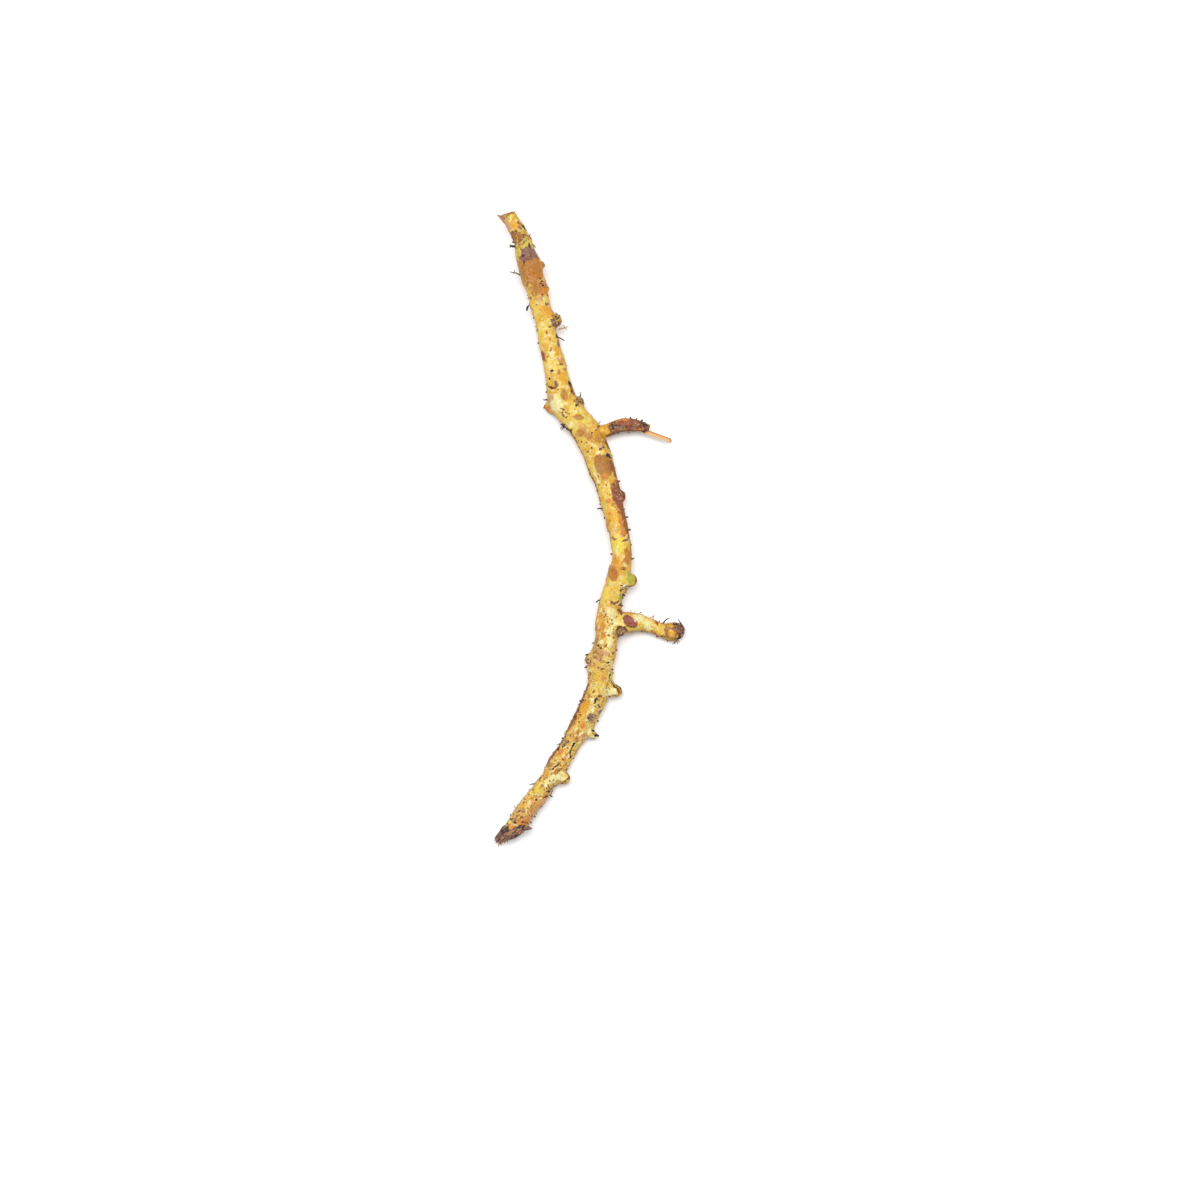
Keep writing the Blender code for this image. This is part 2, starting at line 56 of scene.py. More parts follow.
STEM = [
    (-26.8, 97.0, 11.0, 2.3), (-24.8, 93.8, 10.6, 2.35), (-22.0, 89.2, 9.8, 2.5),
    (-20.2, 85.1, 9.2, 2.75), (-19.4, 81.8, 8.6, 3.1), (-18.3, 78.8, 8.0, 3.45),
    (-17.5, 75.3, 7.4, 3.5), (-16.2, 71.7, 6.9, 3.2), (-15.3, 67.8, 6.4, 3.05),
    (-14.2, 63.1, 5.9, 2.85), (-12.8, 57.4, 5.3, 3.05), (-11.6, 52.0, 4.9, 3.2),
    (-10.2, 46.0, 4.6, 3.5), (-9.2, 41.1, 4.5, 4.0), (-8.1, 37.5, 4.5, 4.3),
    (-5.0, 33.4, 4.5, 4.25), (-1.5, 29.2, 4.6, 4.3), (1.5, 23.4, 4.8, 4.2),
    (3.1, 18.4, 5.0, 3.95), (4.9, 13.6, 5.3, 3.6), (6.0, 8.5, 5.6, 3.3),
    (7.3, 3.6, 5.9, 3.15), (8.4, -1.0, 6.2, 3.2), (9.2, -5.8, 6.3, 3.0),
    (9.4, -9.4, 6.3, 2.95), (8.8, -12.7, 6.2, 3.3), (7.9, -16.6, 6.0, 3.5),
    (6.4, -20.5, 5.8, 3.2), (5.6, -24.9, 5.5, 3.65), (5.2, -29.0, 5.2, 3.8),
    (4.7, -33.4, 4.9, 3.55), (3.9, -37.5, 4.7, 3.8), (2.9, -41.5, 4.5, 3.65),
    (3.0, -45.4, 4.3, 3.7), (1.5, -50.5, 4.1, 3.7), (-0.9, -55.3, 3.7, 3.45),
    (-3.5, -60.5, 3.3, 3.3), (-6.5, -65.8, 2.9, 3.05), (-9.7, -70.6, 3.1, 3.25),
    (-12.3, -75.1, 3.6, 2.8), (-15.2, -79.3, 4.1, 3.05), (-18.3, -83.2, 4.5, 3.0),
    (-21.2, -87.3, 4.8, 2.9), (-23.0, -89.8, 4.9, 2.65), (-26.0, -92.2, 5.0, 1.85),
    (-28.2, -94.1, 5.0, 1.1),
]
UPPER_BRANCH = [
    (1.0, 28.0, 4.6, 2.2), (3.4, 28.9, 4.9, 2.0), (5.8, 29.8, 5.1, 2.0),
    (9.4, 31.0, 5.3, 1.9), (13.6, 30.9, 5.3, 1.8), (16.3, 30.3, 5.2, 1.35),
    (17.6, 29.8, 5.1, 0.8),
]
LOWER_BRANCH = [
    (5.4, -28.0, 5.2, 3.4), (9.0, -28.2, 5.1, 3.3), (11.2, -28.3, 4.9, 3.1),
    (13.6, -28.2, 4.5, 2.7), (16.3, -28.7, 3.9, 2.3), (19.3, -29.7, 3.2, 2.15),
    (21.7, -30.7, 2.75, 2.25), (24.4, -31.1, 2.6, 2.75), (26.4, -31.0, 2.6, 2.4),
    (28.2, -31.1, 2.6, 1.3),
]

# Knobs: foot and tip (x, y, height), radius at the foot and at the tip, how barky the tip is.

KNOBS = {
    "first_bump": ((-20.8, 86.6, 9.2), (-18.6, 86.2, 9.6), 1.9, 1.25, 0.5),
    "upper_shoulder": ((-18.6, 80.4, 8.4), (-14.5, 78.6, 8.6), 2.4, 0.7, 0.8),
    "second_shoulder": ((-17.0, 73.8, 7.2), (-13.0, 71.6, 7.4), 2.5, 0.75, 0.7),
    "crusted_lump": ((-14.0, 63.2, 6.0), (-11.2, 62.1, 7.1), 2.8, 2.5, 0.6),
    "elbow": ((-8.6, 37.6, 4.2), (-11.2, 36.8, 2.2), 3.9, 2.6, 0.2),
    "elbow_corner": ((-11.6, 37.2, 2.8), (-14.2, 36.3, 3.0), 1.9, 0.45, 0.8),
    "elbow_lump": ((-6.6, 37.2, 4.8), (-3.9, 37.6, 5.6), 2.4, 2.0, 0.9),
    "brown_bulge": ((6.2, 9.6, 5.6), (8.3, 9.5, 5.9), 3.1, 2.1, 0.9),
    "green_knob": ((8.8, -15.0, 6.1), (12.0, -15.6, 6.4), 2.9, 2.0, 0.0),
    "stub_on_top": ((6.6, -30.0, 6.4), (9.2, -30.9, 9.3), 1.6, 1.35, 0.5),
    "left_scab": ((1.4, -38.4, 4.6), (-0.5, -39.3, 4.5), 2.3, 1.3, 0.8),
    "right_stub": ((3.6, -47.6, 4.3), (7.6, -48.9, 4.7), 3.2, 1.8, 0.3),
    "pointed_knob": ((-3.2, -59.8, 3.5), (1.1, -62.1, 4.0), 2.6, 0.95, 0.5),
    "tip_knob": ((-11.2, -73.4, 3.6), (-8.1, -75.0, 3.9), 2.8, 1.8, 0.2),
}

# Leaf scars: x, y, length along the strand, width across it.

STEM_SCARS = [
    (-16.8, 78.0, 9.0, 6.0), (-11.6, 42.7, 2.8, 3.1), (-7.6, 40.0, 3.9, 2.7),
    (-3.6, 33.1, 1.9, 3.3), (3.7, 18.4, 7.2, 5.1), (9.3, -12.4, 1.4, 1.4),
    (6.6, -13.9, 4.5, 3.1), (0.1, -56.7, 3.0, 2.4), (-16.6, -78.8, 5.5, 2.6),
]
BRANCH_SCARS = [(12.0, -27.9, 4.8, 3.0)]

# Scars on the flanks: share of the stem's length, degrees round from its top, length, width.

FLANK_SCARS = [
    (0.16, -75, 4.0, 3.0), (0.24, 105, 3.6, 2.8), (0.36, 70, 4.4, 3.2),
    (0.42, -95, 4.0, 3.0), (0.49, -60, 3.4, 2.6), (0.57, -110, 4.2, 3.0),
    (0.64, 95, 3.6, 2.6), (0.71, -80, 4.0, 2.8), (0.79, 80, 3.4, 2.6),
    (0.86, -70, 3.4, 2.4),
]
GROWTH_RINGS = [
    (0.060, 0.16), (0.112, 0.22), (0.175, 0.12), (0.300, 0.10), (0.432, 0.14),
    (0.505, 0.22), (0.585, 0.12), (0.655, 0.14), (0.735, 0.12), (0.820, 0.16),
    (0.905, 0.18),
]
RING_WIDTH = 1.1
SCAR_RIM = 0.20
SCAR_RIM_WIDTH = 0.28
SCAR_DISH = 0.24
LUMP_HEIGHT = 0.30
LUMP_SIZE = 6.5
SKIN_REACH = 1.6

TORN_FACE = (-24.8, 93.7, 10.6)
TORN_FACE_LOOKS = (-0.30, 0.93, 0.22)
BUNDLES = 9                       # vascular bundles in a ring on the torn face
BUNDLE_RING = 1.35
SPLINTER = ((13.6, 30.0, 4.7), (24.3, 26.2, 3.9))
COLLAR_LINE = [(-27.0, -88.8), (-25.7, -89.2), (-24.8, -89.6), (-23.6, -90.4), (-22.5, -89.7),
               (-21.5, -89.6), (-20.3, -89.1), (-19.1, -88.7), (-17.8, -88.3)]
COLLAR_FLAKE = [(-21.4, -89.2, 6.3), (-20.4, -89.5, 6.2), (-19.4, -89.75, 6.0), (-18.4, -89.95, 5.8),
                (-17.5, -90.1, 5.6)]
CAP_DARKENS = (-21.8, -25.4)       # x where the dark tip starts to darken, and where it is darkest
SPECKLED = (0.62, 0.97)            # shares of the stem between which fine specks cover its upper side
BUD_BANDS = [((666.4, 625.6), (667.6, 638.4)), ((675.6, 624.6), (676.4, 640.2))]

FLANK_STARTS = 75                 # degrees from level where the listed marks start to wrap round a flank
FLANK_RADIUS = 2.5                # millimetres, about how round the flanks are
EXPOSURE = 1.5                    # how much brighter than life the pale floor and the tones are lit
SKIN_VOXEL = 0.274
SKIN_SMOOTHING = 14
STEP_ALONG = 0.8
BROAD_PATCH = 3.5                 # pixels: narrower patches than this wander and blur less
LOWEST = 0.12                     # no rootlet, shred or thread hangs lower than this
SCALES_LOWEST = 0.15              # and no scale of the tip lower than this

HIDDEN_ROOTLETS = 360
TIP_SCALES = 340
TIP_FIBRES = 90
BUD_THREADS = 16
RIM_SHREDS = 64                   # shreds round the torn face's rim
RIM_RADIUS = 2.18
LOOSE_CRUMBS = 260

# Marks on the skin. Each patch is an oval seen from above: pixel x, pixel y, half length, half
# width (pixels), degrees from +X to its length, and how strong it is. One that ends sooner is of full
# strength, level and round. A streak is its half width and strength, then the pixels that it runs
# through.

PATCHES = {
    "lemon": [
        (509, 217.5, 5, 2.8, 12), (521.9, 222, 3.8, 1.4, -55), (516.5, 258, 3.5, 2, -80),
        (618.5, 546, 8, 6.5, -80, 0.9), (539.7, 788.5, 5.5, 4, 50, 0.7), (509.8, 821.5, 2.5, 2, 0, 0.5),
        (546, 397, 4, 5, 0, 0.6), (541, 333, 5, 3, -75, 0.6), (532, 309, 6, 3, -72, 0.6),
        (606, 592, 8, 5, 75, 0.6), (645, 621, 6, 3, -15, 0.5), (600, 683, 6, 5, 60, 0.5),
    ],
    "gold": [
        (515.2, 227.3, 6, 2.6, -72), (548.8, 314.4, 5.5, 4.5, -75), (544.7, 310.3, 4, 4, 0, 0.9),
        (557, 351, 6, 5, -70, 0.8), (563.2, 379, 6.5, 3.4, -70), (600, 676, 9, 7, 60, 0.5),
        (594, 672, 5, 4, 0, 0.4), (642, 618, 6, 2, -15, 0.5), (660, 629, 4, 4, 0, 0.4),
        (610.2, 613.8, 1.3, 0.9, 0, 0.8), (606.5, 606.6, 1.6, 1, 0, 0.8), (584.8, 707.3, 7.5, 5, 60, 0.9),
        (560, 758, 5, 5, 0, 0.5), (604, 525, 7, 2, -80, 0.5), (607, 494, 7, 3, -70, 0.5),
        (575, 424, 5, 3, -40, 0.4), (671, 631.5, 5, 6, 0, 0.95), (529, 800, 5, 4, 55, 0.6),
        (603, 640, 8, 4, 80, 0.4), (600, 436, 12, 8, -45, 0.75), (606, 428, 6, 4, 0, 0.9),
        (611, 516, 10, 7, -80, 0.65), (614, 566, 12, 8, -85, 0.9), (599, 622, 12, 3.5, 85, 0.6),
        (598, 495, 8, 4, -70, 0.4), (581, 718, 10, 6, 60, 0.6), (521, 806, 6, 5, 50, 0.6),
        (650, 627, 6, 3, -15, 0.4),
    ],
    # The cream patches are partly the skin's own pale colour and partly painted highlights on its top.
    "cream_and_highlight": [
        (556, 409, 6.5, 3, -25, 0.9), (552, 408, 4, 1.2, -30, 0.9), (570.5, 425, 4.2, 3, -45, 0.9),
        (598.2, 453.2, 2.6, 1.6, 0, 0.9), (603.5, 456, 3.5, 1.6, -10, 0.9), (599, 481.4, 4, 1.9, -70, 0.9),
        (594.9, 474.8, 3.5, 1.4, -65, 0.8), (613.5, 532, 3.5, 4, 0, 0.5), (608, 588, 7, 4, 75, 0.35),
        (611, 613, 6.5, 5, -40, 0.6), (613.5, 622, 6, 4.5, -50, 0.7), (606.5, 609, 4, 3, 0, 0.5),
        (610, 632, 7, 4, 75, 0.95), (610, 642, 6, 3.5, 80, 0.8), (647.1, 623.8, 4.5, 2.5, -20, 0.9),
        (552, 399, 6, 5), (556, 404, 8, 6, 0, 0.9), (640, 618.5, 7, 4, -15), (520, 811, 2.5, 2, 0, 0.6),
        (551, 352, 6, 4, -75, 0.6), (648.8, 628.5, 4, 1.6, -15, 0.9), (611.5, 692.5, 6, 5, -20, 0.8),
        (604.5, 690.5, 4, 4, 0, 0.5), (593.1, 707.3, 5, 4, 40, 0.5), (589, 731, 5, 4, 30, 0.5),
        (554.5, 778.5, 7, 4, 30, 0.9), (547, 783.5, 2.5, 1.5, 0, 0.7), (536, 337, 4, 2, -78, 0.4),
        (549, 366, 5, 3, -75, 0.5), (598, 493, 4, 2, -68, 0.4),
    ],
    "ochre": [
        (517, 241, 9, 8, -72, 0.9), (531, 238, 3, 2.5, 0, 0.8), (531.5, 270, 14, 18, 18),
        (538, 290, 11, 8, -72, 0.75), (547, 287, 4, 4, 0, 0.9), (559, 373, 3.2, 2.4, -70, 0.7),
        (565.1, 369.8, 1.8, 1.5, 0, 0.8), (549, 399, 6, 4.5, 80, 0.6), (582, 433.6, 6.5, 5, -40, 0.75),
        (588.5, 436.5, 5, 4, -30, 0.7), (584, 427.5, 3.5, 2, -30, 0.5), (590, 441, 5, 3, -30, 0.5),
        (627.2, 556.5, 9, 3.6, -86, 0.9), (616.4, 558.7, 1.1, 1, 0, 0.6), (623.1, 569, 2.6, 2.3, 0, 0.9),
        (598, 668, 6, 6, 0, 0.4), (657, 622, 2.4, 2.8, 0, 0.7), (667, 631.5, 2, 5, 0, 0.6),
        (572, 724, 6, 4, 60, 0.6), (519, 817, 9, 8, 50, 0.45), (562, 361, 4, 3, -70, 0.5),
        (624, 563, 5, 4, 0, 0.5), (629, 421, 2, 1.2, 0, 0.8), (623, 429.3, 3.6, 1, 5, 0.8),
        (637, 429.8, 4, 1, 0, 0.8), (616, 423.5, 2, 1.4, 0, 0.5), (584.6, 430.9, 8, 5.5, -35, 0.55),
        (618.5, 496, 13, 8.5, -72, 0.65), (623, 520, 14, 4, -78, 0.6), (612, 575, 11, 8, -80, 0.45),
        (594, 652, 9, 5, 65, 0.35), (601, 440, 9, 7, -50, 0.6),
    ],
    "scar": [
        (564.3, 395.5, 6.6, 4.4, -82, 0.62), (578.4, 417.8, 6, 3.1, 0, 0.66),
        (603.4, 466.5, 12.5, 8.6, -70), (612.9, 574, 8, 5.4, -78, 0.85),
    ],
    "orange": [
        (500, 218.5, 3, 1.8, 140), (545.5, 292.8, 3.5, 3.5, 0, 0.8), (547, 283, 4, 3, 0, 0.6),
        (549, 313, 4, 3, -75, 0.4), (544.5, 357, 6.5, 2.6, -80, 0.6), (561, 362, 2.5, 2.5, 0, 0.6),
        (547.5, 407.5, 5, 3, -40, 0.8), (605.6, 476.5, 4.5, 4, 0, 0.6), (609, 501, 3, 2.5, 0, 0.85),
        (609.2, 513.7, 2.2, 1.4, -80, 0.7), (608.5, 521.5, 3.2, 3, 0, 0.6), (627.5, 556, 6, 2.6, -86, 0.5),
        (612.9, 574, 7.6, 5.1, -78, 0.5), (603, 626.5, 4.5, 3, 80, 0.9), (603.2, 635.5, 4, 2.6, 80, 0.9),
        (601, 615, 3, 2, 80, 0.6), (600, 654, 7, 5, 60, 0.5), (675, 633, 4, 4, 0, 0.4),
        (603.8, 679.1, 3, 1.8, -70, 0.7), (583, 703, 5, 2.5, 60, 0.5), (582.3, 726.3, 4, 2.2, 60, 0.8),
        (576.5, 731.5, 4, 3, 50, 0.6), (560.7, 752, 5.5, 3, 40, 0.8), (564.9, 758.7, 4.5, 2, 65, 0.7),
        (546, 772, 6, 3.5, 60, 0.5), (529, 273, 6, 5, -72, 0.35), (511.6, 826.4, 3.4, 2, -60, 0.9),
        (521, 822.5, 6, 3, 0, 0.75), (527, 818, 6, 5, 55, 0.7), (514, 815, 5, 3, 50, 0.5),
        (623, 514, 9, 4, -80, 0.6), (612.5, 482, 5, 4, -70, 0.5), (554, 312, 3, 2.4, 0, 0.7),
        (538, 783, 4, 2, 50, 0.4), (571, 716, 6, 2, 60, 0.6), (556, 744, 6, 2, 60, 0.5),
        (617, 564, 9, 5, -85, 0.5), (620, 574, 7, 5, -80, 0.35), (533, 799, 6, 3, 50, 0.6),
        (591, 665, 5, 4, 70, 0.6), (606, 672, 4, 2.4, 60, 0.5), (585, 695, 4, 2.6, 60, 0.5),
        (573, 737, 4, 2.4, 60, 0.5),
    ],
    "pink": [
        (507.5, 226.5, 7, 2.8, -57, 0.8), (539.7, 299.5, 2.8, 2.4, 0, 0.8), (539, 304, 1.8, 1.5, 0, 0.5),
        (558.7, 359.5, 3.2, 2.6, 0, 0.7), (554.8, 360.6, 1.3, 1, 0, 0.6), (600.5, 448, 4, 2.6, -20, 0.7),
        (613.9, 529.5, 5, 4, -60, 0.45), (627.2, 589.5, 2.2, 1.5), (597, 652, 6, 4, 70, 0.4),
        (605.7, 653.6, 3.8, 3, 0, 0.7), (586.6, 662, 2.5, 1, 90, 0.6), (585, 737, 7, 3, 0, 0.5),
        (551.6, 759.9, 2.6, 2, 0, 0.8), (570.9, 388, 3, 1.8, -65, 0.5), (529, 815, 5, 3, 55, 0.5),
        (549, 766, 3, 2, 60, 0.6), (566, 744, 3, 2, 60, 0.6), (518.5, 811, 3, 2, 50, 0.5),
    ],
    "green": [
        (543.2, 344.9, 0.9, 0.9, 0, 0.8), (551, 377, 5, 5, 0, 0.3), (602, 438, 7, 7, -60, 0.34),
        (607.5, 446, 6, 2, -75, 0.6), (630.8, 578, 6.5, 4.6, -70), (627, 574, 5, 4, 0, 0.5),
        (620.6, 597, 5.5, 1.8, 80, 0.7), (613, 684, 4, 2.5, -45, 0.4), (536, 792, 6, 3.5, 50, 0.32),
        (565.7, 775.5, 2.5, 3, 0, 0.35), (517.5, 246, 5, 2.5, -80, 0.4),
    ],
    "brown": [
        (521, 238.5, 10, 8, -65, 0.5), (526.5, 230.5, 3, 2, -40, 0.7), (531.6, 238, 1.4, 4, -20, 0.9),
        (521.5, 226.5, 3, 2, -50, 0.6), (512.5, 236.5, 3, 2, -70, 0.8), (524.5, 237.4, 2.6, 1.1, -20, 0.8),
        (514, 246, 2.4, 2.4, 0, 0.8), (523, 242, 2.4, 1.1, 40, 0.8), (527.4, 241.6, 1.6, 1.1, 0, 0.7),
        (519.8, 243, 2.4, 1.2, -60, 0.8), (513, 242.5, 4.5, 1.5, -78, 0.8), (533, 294.5, 1.2, 1.2, 0, 0.7),
        (530.6, 298.7, 2.4, 1, -75, 0.7), (542.2, 295.7, 1.3, 1.1, 0, 0.9), (548, 296.2, 1.5, 1.2, 0, 0.8),
        (536.4, 306, 1, 1, 0, 0.6), (542, 301.5, 1, 1, 0, 0.6), (526.8, 299, 1, 0.8), (533, 318.5, 1),
        (526.4, 287, 0.7), (556, 325, 4, 3.5, 0, 0.8), (549.8, 327.9, 1.1, 1), (546.5, 333.3, 2.1, 1, -80),
        (550.2, 339.9, 0.9), (537.4, 330.4, 1, 1.2), (551.6, 349.5, 2, 1, -50), (550.2, 351.3, 0.9, 0.8),
        (547.7, 357.7, 0.9, 0.8), (543, 356, 5.5, 1.8, -80, 0.9), (561.8, 365.2, 1.9, 1.5, 0, 0.9),
        (580.5, 400, 5, 5, 0, 0.9), (563.5, 410.5, 1.6, 1.2, -30), (562.5, 413.5, 1.6, 1, 30),
        (566, 413, 1.4, 1, -40), (563.5, 416, 1.8, 1.2, -30), (566.4, 418, 1.5, 1.2, -40),
        (569, 414.6, 1.1, 0.9), (561.5, 409, 1.2, 0.8), (609.5, 466, 7, 4, -70, 0.55), (606.1, 485.6, 0.9),
        (598.6, 485.1, 0.8), (607.7, 493.8, 0.8), (601.5, 488.5, 0.8, 0.8, 0, 0.7),
        (604, 498, 0.8, 0.7, 0, 0.7), (615.2, 507.5, 0.9), (618.5, 512.1, 1.3, 1.1, 0, 0.9),
        (610.2, 522, 1.8, 1.1, -80, 0.7), (623.9, 535.3, 2, 1, 0, 0.7), (611, 554.8, 0.9),
        (612.9, 574, 7.4, 4.9, -78, 0.3), (629.8, 587, 2.2, 1.2, 10, 0.9), (626.4, 592.7, 1.5, 1.2, 0, 0.9),
        (604, 611.3, 1), (604.4, 617.1, 1, 1.1), (611.9, 624.2, 1.4, 1.1, 30), (609, 625.4, 1, 0.8),
        (613.1, 629.6, 0.9, 0.8), (605.7, 632.5, 0.9), (608.6, 635.4, 1.2, 0.9), (607.5, 622, 0.7),
        (616, 617, 0.8, 0.7), (605.7, 645.7, 2, 1.3, 60, 0.95), (595, 648, 4, 3, 0, 0.5),
        (602.3, 669, 1.7, 1.3, 0, 0.9), (594.5, 664, 1, 1, 0, 0.8), (616.8, 649.5, 1),
        (613.2, 653.8, 1.6, 1, 70), (613, 660, 0.8), (621.4, 631.2, 5.6, 4.2, 40),
        (657.3, 622.3, 2.2, 1.6, 90, 0.7), (651.5, 631.5, 1, 0.8), (655, 633.5, 0.9), (646, 632, 0.8, 0.6),
        (644, 620, 0.7, 0.7, 0, 0.6), (650, 624.5, 0.7, 0.7, 0, 0.5), (641, 626, 0.8, 0.6, 0, 0.5),
        (654, 628, 0.8, 0.8, 0, 0.6), (678, 630, 4, 5, 60, 0.6), (618.5, 690.5, 3, 2, -70, 0.8),
        (593.9, 691.5, 2, 1.1, 60, 0.9), (600.1, 695.7, 1.8, 1.2, -40, 0.9),
        (597.5, 685.2, 1.1, 0.8, 0, 0.5), (579.9, 714.7, 1.4, 1.1), (588.5, 701, 1, 0.8, 0, 0.7),
        (591, 717.2, 5, 3.8, 60, 0.4), (596.4, 732.6, 1.8, 1, -30), (543, 775.7, 1.2, 1), (541, 777.5, 1),
        (539.7, 779.2, 1.2, 1), (544.5, 779, 0.8), (549.7, 780.7, 1), (553.5, 786, 1.1, 1),
        (525.2, 798.9, 1, 0.9), (523.5, 802.2, 0.9), (523.5, 804.8, 0.8), (536.4, 795.2, 0.9, 0.8),
        (533, 789.8, 1), (528.9, 794.8, 1), (523.1, 796.4, 1), (520.6, 799.7, 1),
        (519, 812, 1.6, 1.4, 0, 0.8), (524, 811, 1.2, 1, 0, 0.7), (516, 808, 1.4, 1.2, 0, 0.6),
        (527, 823, 1.5, 1.3, 0, 0.7), (556, 780, 1, 0.8, 0, 0.5), (573, 703, 1, 1, 0, 0.7),
        (600, 720, 1, 0.8, 0, 0.6), (586, 722, 0.9, 0.8, 0, 0.7), (571, 735, 1.5, 1, 40, 0.7),
        (566, 764, 1.2, 0.9, 60, 0.7), (560, 766, 1, 1, 0, 0.6), (618.8, 495, 13.5, 8.5, -72, 0.95),
        (564.5, 742.6, 5, 3.6, 60, 0.55), (549.4, 764.5, 4.5, 3.2, 50, 0.55), (598, 652, 8, 6, 70, 0.5),
        (592, 644, 3, 4, 80, 0.5), (520, 826, 5, 1.2, 10, 0.8), (527, 823.6, 4, 1.1, -40, 0.7),
        (508, 824, 2.4, 1, -40, 0.8), (518.6, 225, 2.4, 1.8, -50, 0.7), (520, 229.5, 2.4, 1.6, -50, 0.7),
        (509, 221, 3, 1, -60, 0.5), (553, 317, 2, 1.2, 0, 0.8), (560, 323, 1.4, 1.6, 0, 0.8),
        (559, 315.5, 1.4, 1, 0, 0.8), (612, 426, 4.4, 4.6, 0, 0.95), (575, 712, 4, 1.6, 60, 0.8),
        (580, 699, 3, 1.4, 60, 0.7), (551, 757, 3.4, 1.4, 55, 0.7), (543, 768, 3, 1.2, 55, 0.7),
        (590, 674, 3, 1.4, 80, 0.6),
    ],
    "purple": [
        (518.6, 224, 2, 1.4, 0, 0.4), (519, 228.5, 2, 1.4, 0, 0.4), (516.3, 219.5, 1.8, 1, -40, 0.4),
        (529.5, 254.5, 9, 6.5, -25, 0.95), (534, 253, 4.5, 4), (524, 259, 4.5, 3.5, -30),
        (537, 258, 4, 3, -50, 0.8), (546.8, 304.9, 2, 1.8, 0, 0.85), (553, 321.5, 2.2, 2),
        (554.8, 325.5, 3, 3, 0, 0.8), (556.5, 329, 2.5, 2, 90, 0.7), (558.9, 344, 3.2, 2.6, 90, 0.8),
        (556, 385.1, 2.8, 2, -80, 0.9), (598.7, 427.2, 2, 1.3, 0, 0.9), (620.4, 494.8, 8.5, 6, -75, 0.45),
        (596.8, 641.5, 4, 2.4, 85, 0.6), (600.3, 659.4, 1.8, 1.4), (595, 657, 2, 2, 0, 0.6),
        (586.5, 661.5, 5.2, 2, 90, 0.6), (599.7, 712.2, 2.6, 1.4, 60, 0.9), (591, 717.2, 5.2, 4, 60, 0.85),
        (565.7, 742.1, 3, 2.4, 60, 0.45), (550, 764.5, 3, 2, 50, 0.45), (516, 819.5, 2.4, 2.6, 0, 0.5),
        (512.5, 813.5, 1.4, 1.4, 50, 0.6), (620, 427.5, 5, 1.6, 0, 0.8), (632, 424, 5, 4, 0, 0.6),
        (680, 631.5, 3.6, 6), (683, 630, 2.5, 5, 0, 0.9),
    ],
    "rust": [
        (630.1, 621.3, 8.3, 4.9, -30, 0.85), (521.9, 816.7, 1.5, 1.2), (622, 423.3, 5, 2.6, -5, 0.7),
        (631.5, 423, 4, 4, 0, 0.7), (637.5, 427.5, 4, 2, 0, 0.5), (619.2, 496, 11.5, 7, -74, 0.6),
    ],
    "umber": [
        (523.5, 228.2, 1.6, 1.2), (525.4, 231, 1.4, 1), (524.5, 239, 1.3, 1), (512.7, 244, 2.2, 1.2, 90),
        (523.1, 258, 2.3, 2, 0, 0.9), (524, 265, 2.2, 1.5, 90, 0.8), (529.8, 248, 2.4, 1.4, 90, 0.7),
        (527, 261, 2.5, 2, 0, 0.5), (541.8, 282.5, 1.2, 0.9, 30), (540.5, 280, 1, 0.8), (541, 285, 1),
        (553.8, 310.5, 2, 1.2, -50), (555.5, 311.5, 1), (557.2, 336.2, 3.6, 1.4, -57, 0.9),
        (538.4, 343.6, 1), (549.8, 379.3, 1.2, 1, 0, 0.9), (546.9, 384.7, 0.9), (546.5, 391.3, 0.9),
        (558.5, 390.5, 0.9, 0.8, 0, 0.9), (570, 384.5, 2.6, 1.6, -60, 0.9), (580.5, 395.3, 2.5, 0.8, 10),
        (576.3, 405.8, 1.9, 1.1, -70, 0.9), (578.5, 406.5, 0.8), (591.7, 433.2, 1.4, 1, 30),
        (595.8, 431.1, 1.1, 0.7, 30), (581.7, 442.7, 1.1, 1), (586.3, 443.6, 1.1, 0.9),
        (578.8, 441.1, 0.8, 0.8, 0, 0.7), (591.9, 448.6, 1.4, 0.9, -60), (587.8, 451.6, 0.9, 0.8, 0, 0.8),
        (603.2, 447.8, 1.2, 1), (599.9, 449.9, 1.4, 1.2, 0, 0.9), (597.5, 446, 1, 0.8, 0, 0.7),
        (610.5, 458, 1.5, 1), (619.1, 482.6, 1.8, 1.2, -60), (618.5, 486, 1.5, 1, 0, 0.8),
        (621.5, 490, 4, 2.5, -70, 0.5), (624.5, 496, 5, 1.5, -80, 0.5), (623.8, 570, 1, 0.9),
        (620.6, 590.6, 1.4, 1.1), (621.4, 585.8, 1.2, 0.9), (623.2, 595, 1.6, 1.2, 90, 0.9),
        (620.6, 604.9, 1.8, 1.4, 0, 0.9), (614.5, 604.5, 1.6, 1, 20, 0.8), (598.6, 645.7, 1.4, 1.2),
        (601.1, 647.8, 1.1, 1), (595.5, 640, 1.5, 0.9, 0, 0.7), (612.3, 669.6, 1.2, 1, 90),
        (619.8, 636.5, 3.5, 1.2, 40, 0.9), (675.8, 624.6, 3, 1.4, 0, 0.9), (609.7, 675.3, 1),
        (612, 426, 3.6, 4.2, 0, 0.85), (678.6, 638, 3.4, 1.8, 25, 0.9), (682.8, 629, 1.2, 5, 15, 0.7),
        (680, 626.4, 3, 1.5, 0, 0.7), (683.4, 634, 1.4, 3, 0, 0.7), (589, 665, 1, 3, 0, 0.6),
        (563, 759, 1, 1, 0, 0.8), (598, 700, 0.9, 0.9, 0, 0.8), (579, 722, 0.9, 0.9, 0, 0.8),
        (609.7, 696.9, 1.3, 1.1), (583.5, 700, 1), (563.2, 746.2, 2.2, 1.6, 50, 0.8), (561, 741, 1.5, 1),
        (552.5, 791.2, 1, 0.8), (546.3, 787.6, 0.9), (536.4, 799.7, 1.1, 1), (551.7, 796, 0.9),
        (541.3, 806.4, 0.9), (537.2, 813, 0.9), (535.1, 816.3, 0.9), (531.4, 823, 0.9),
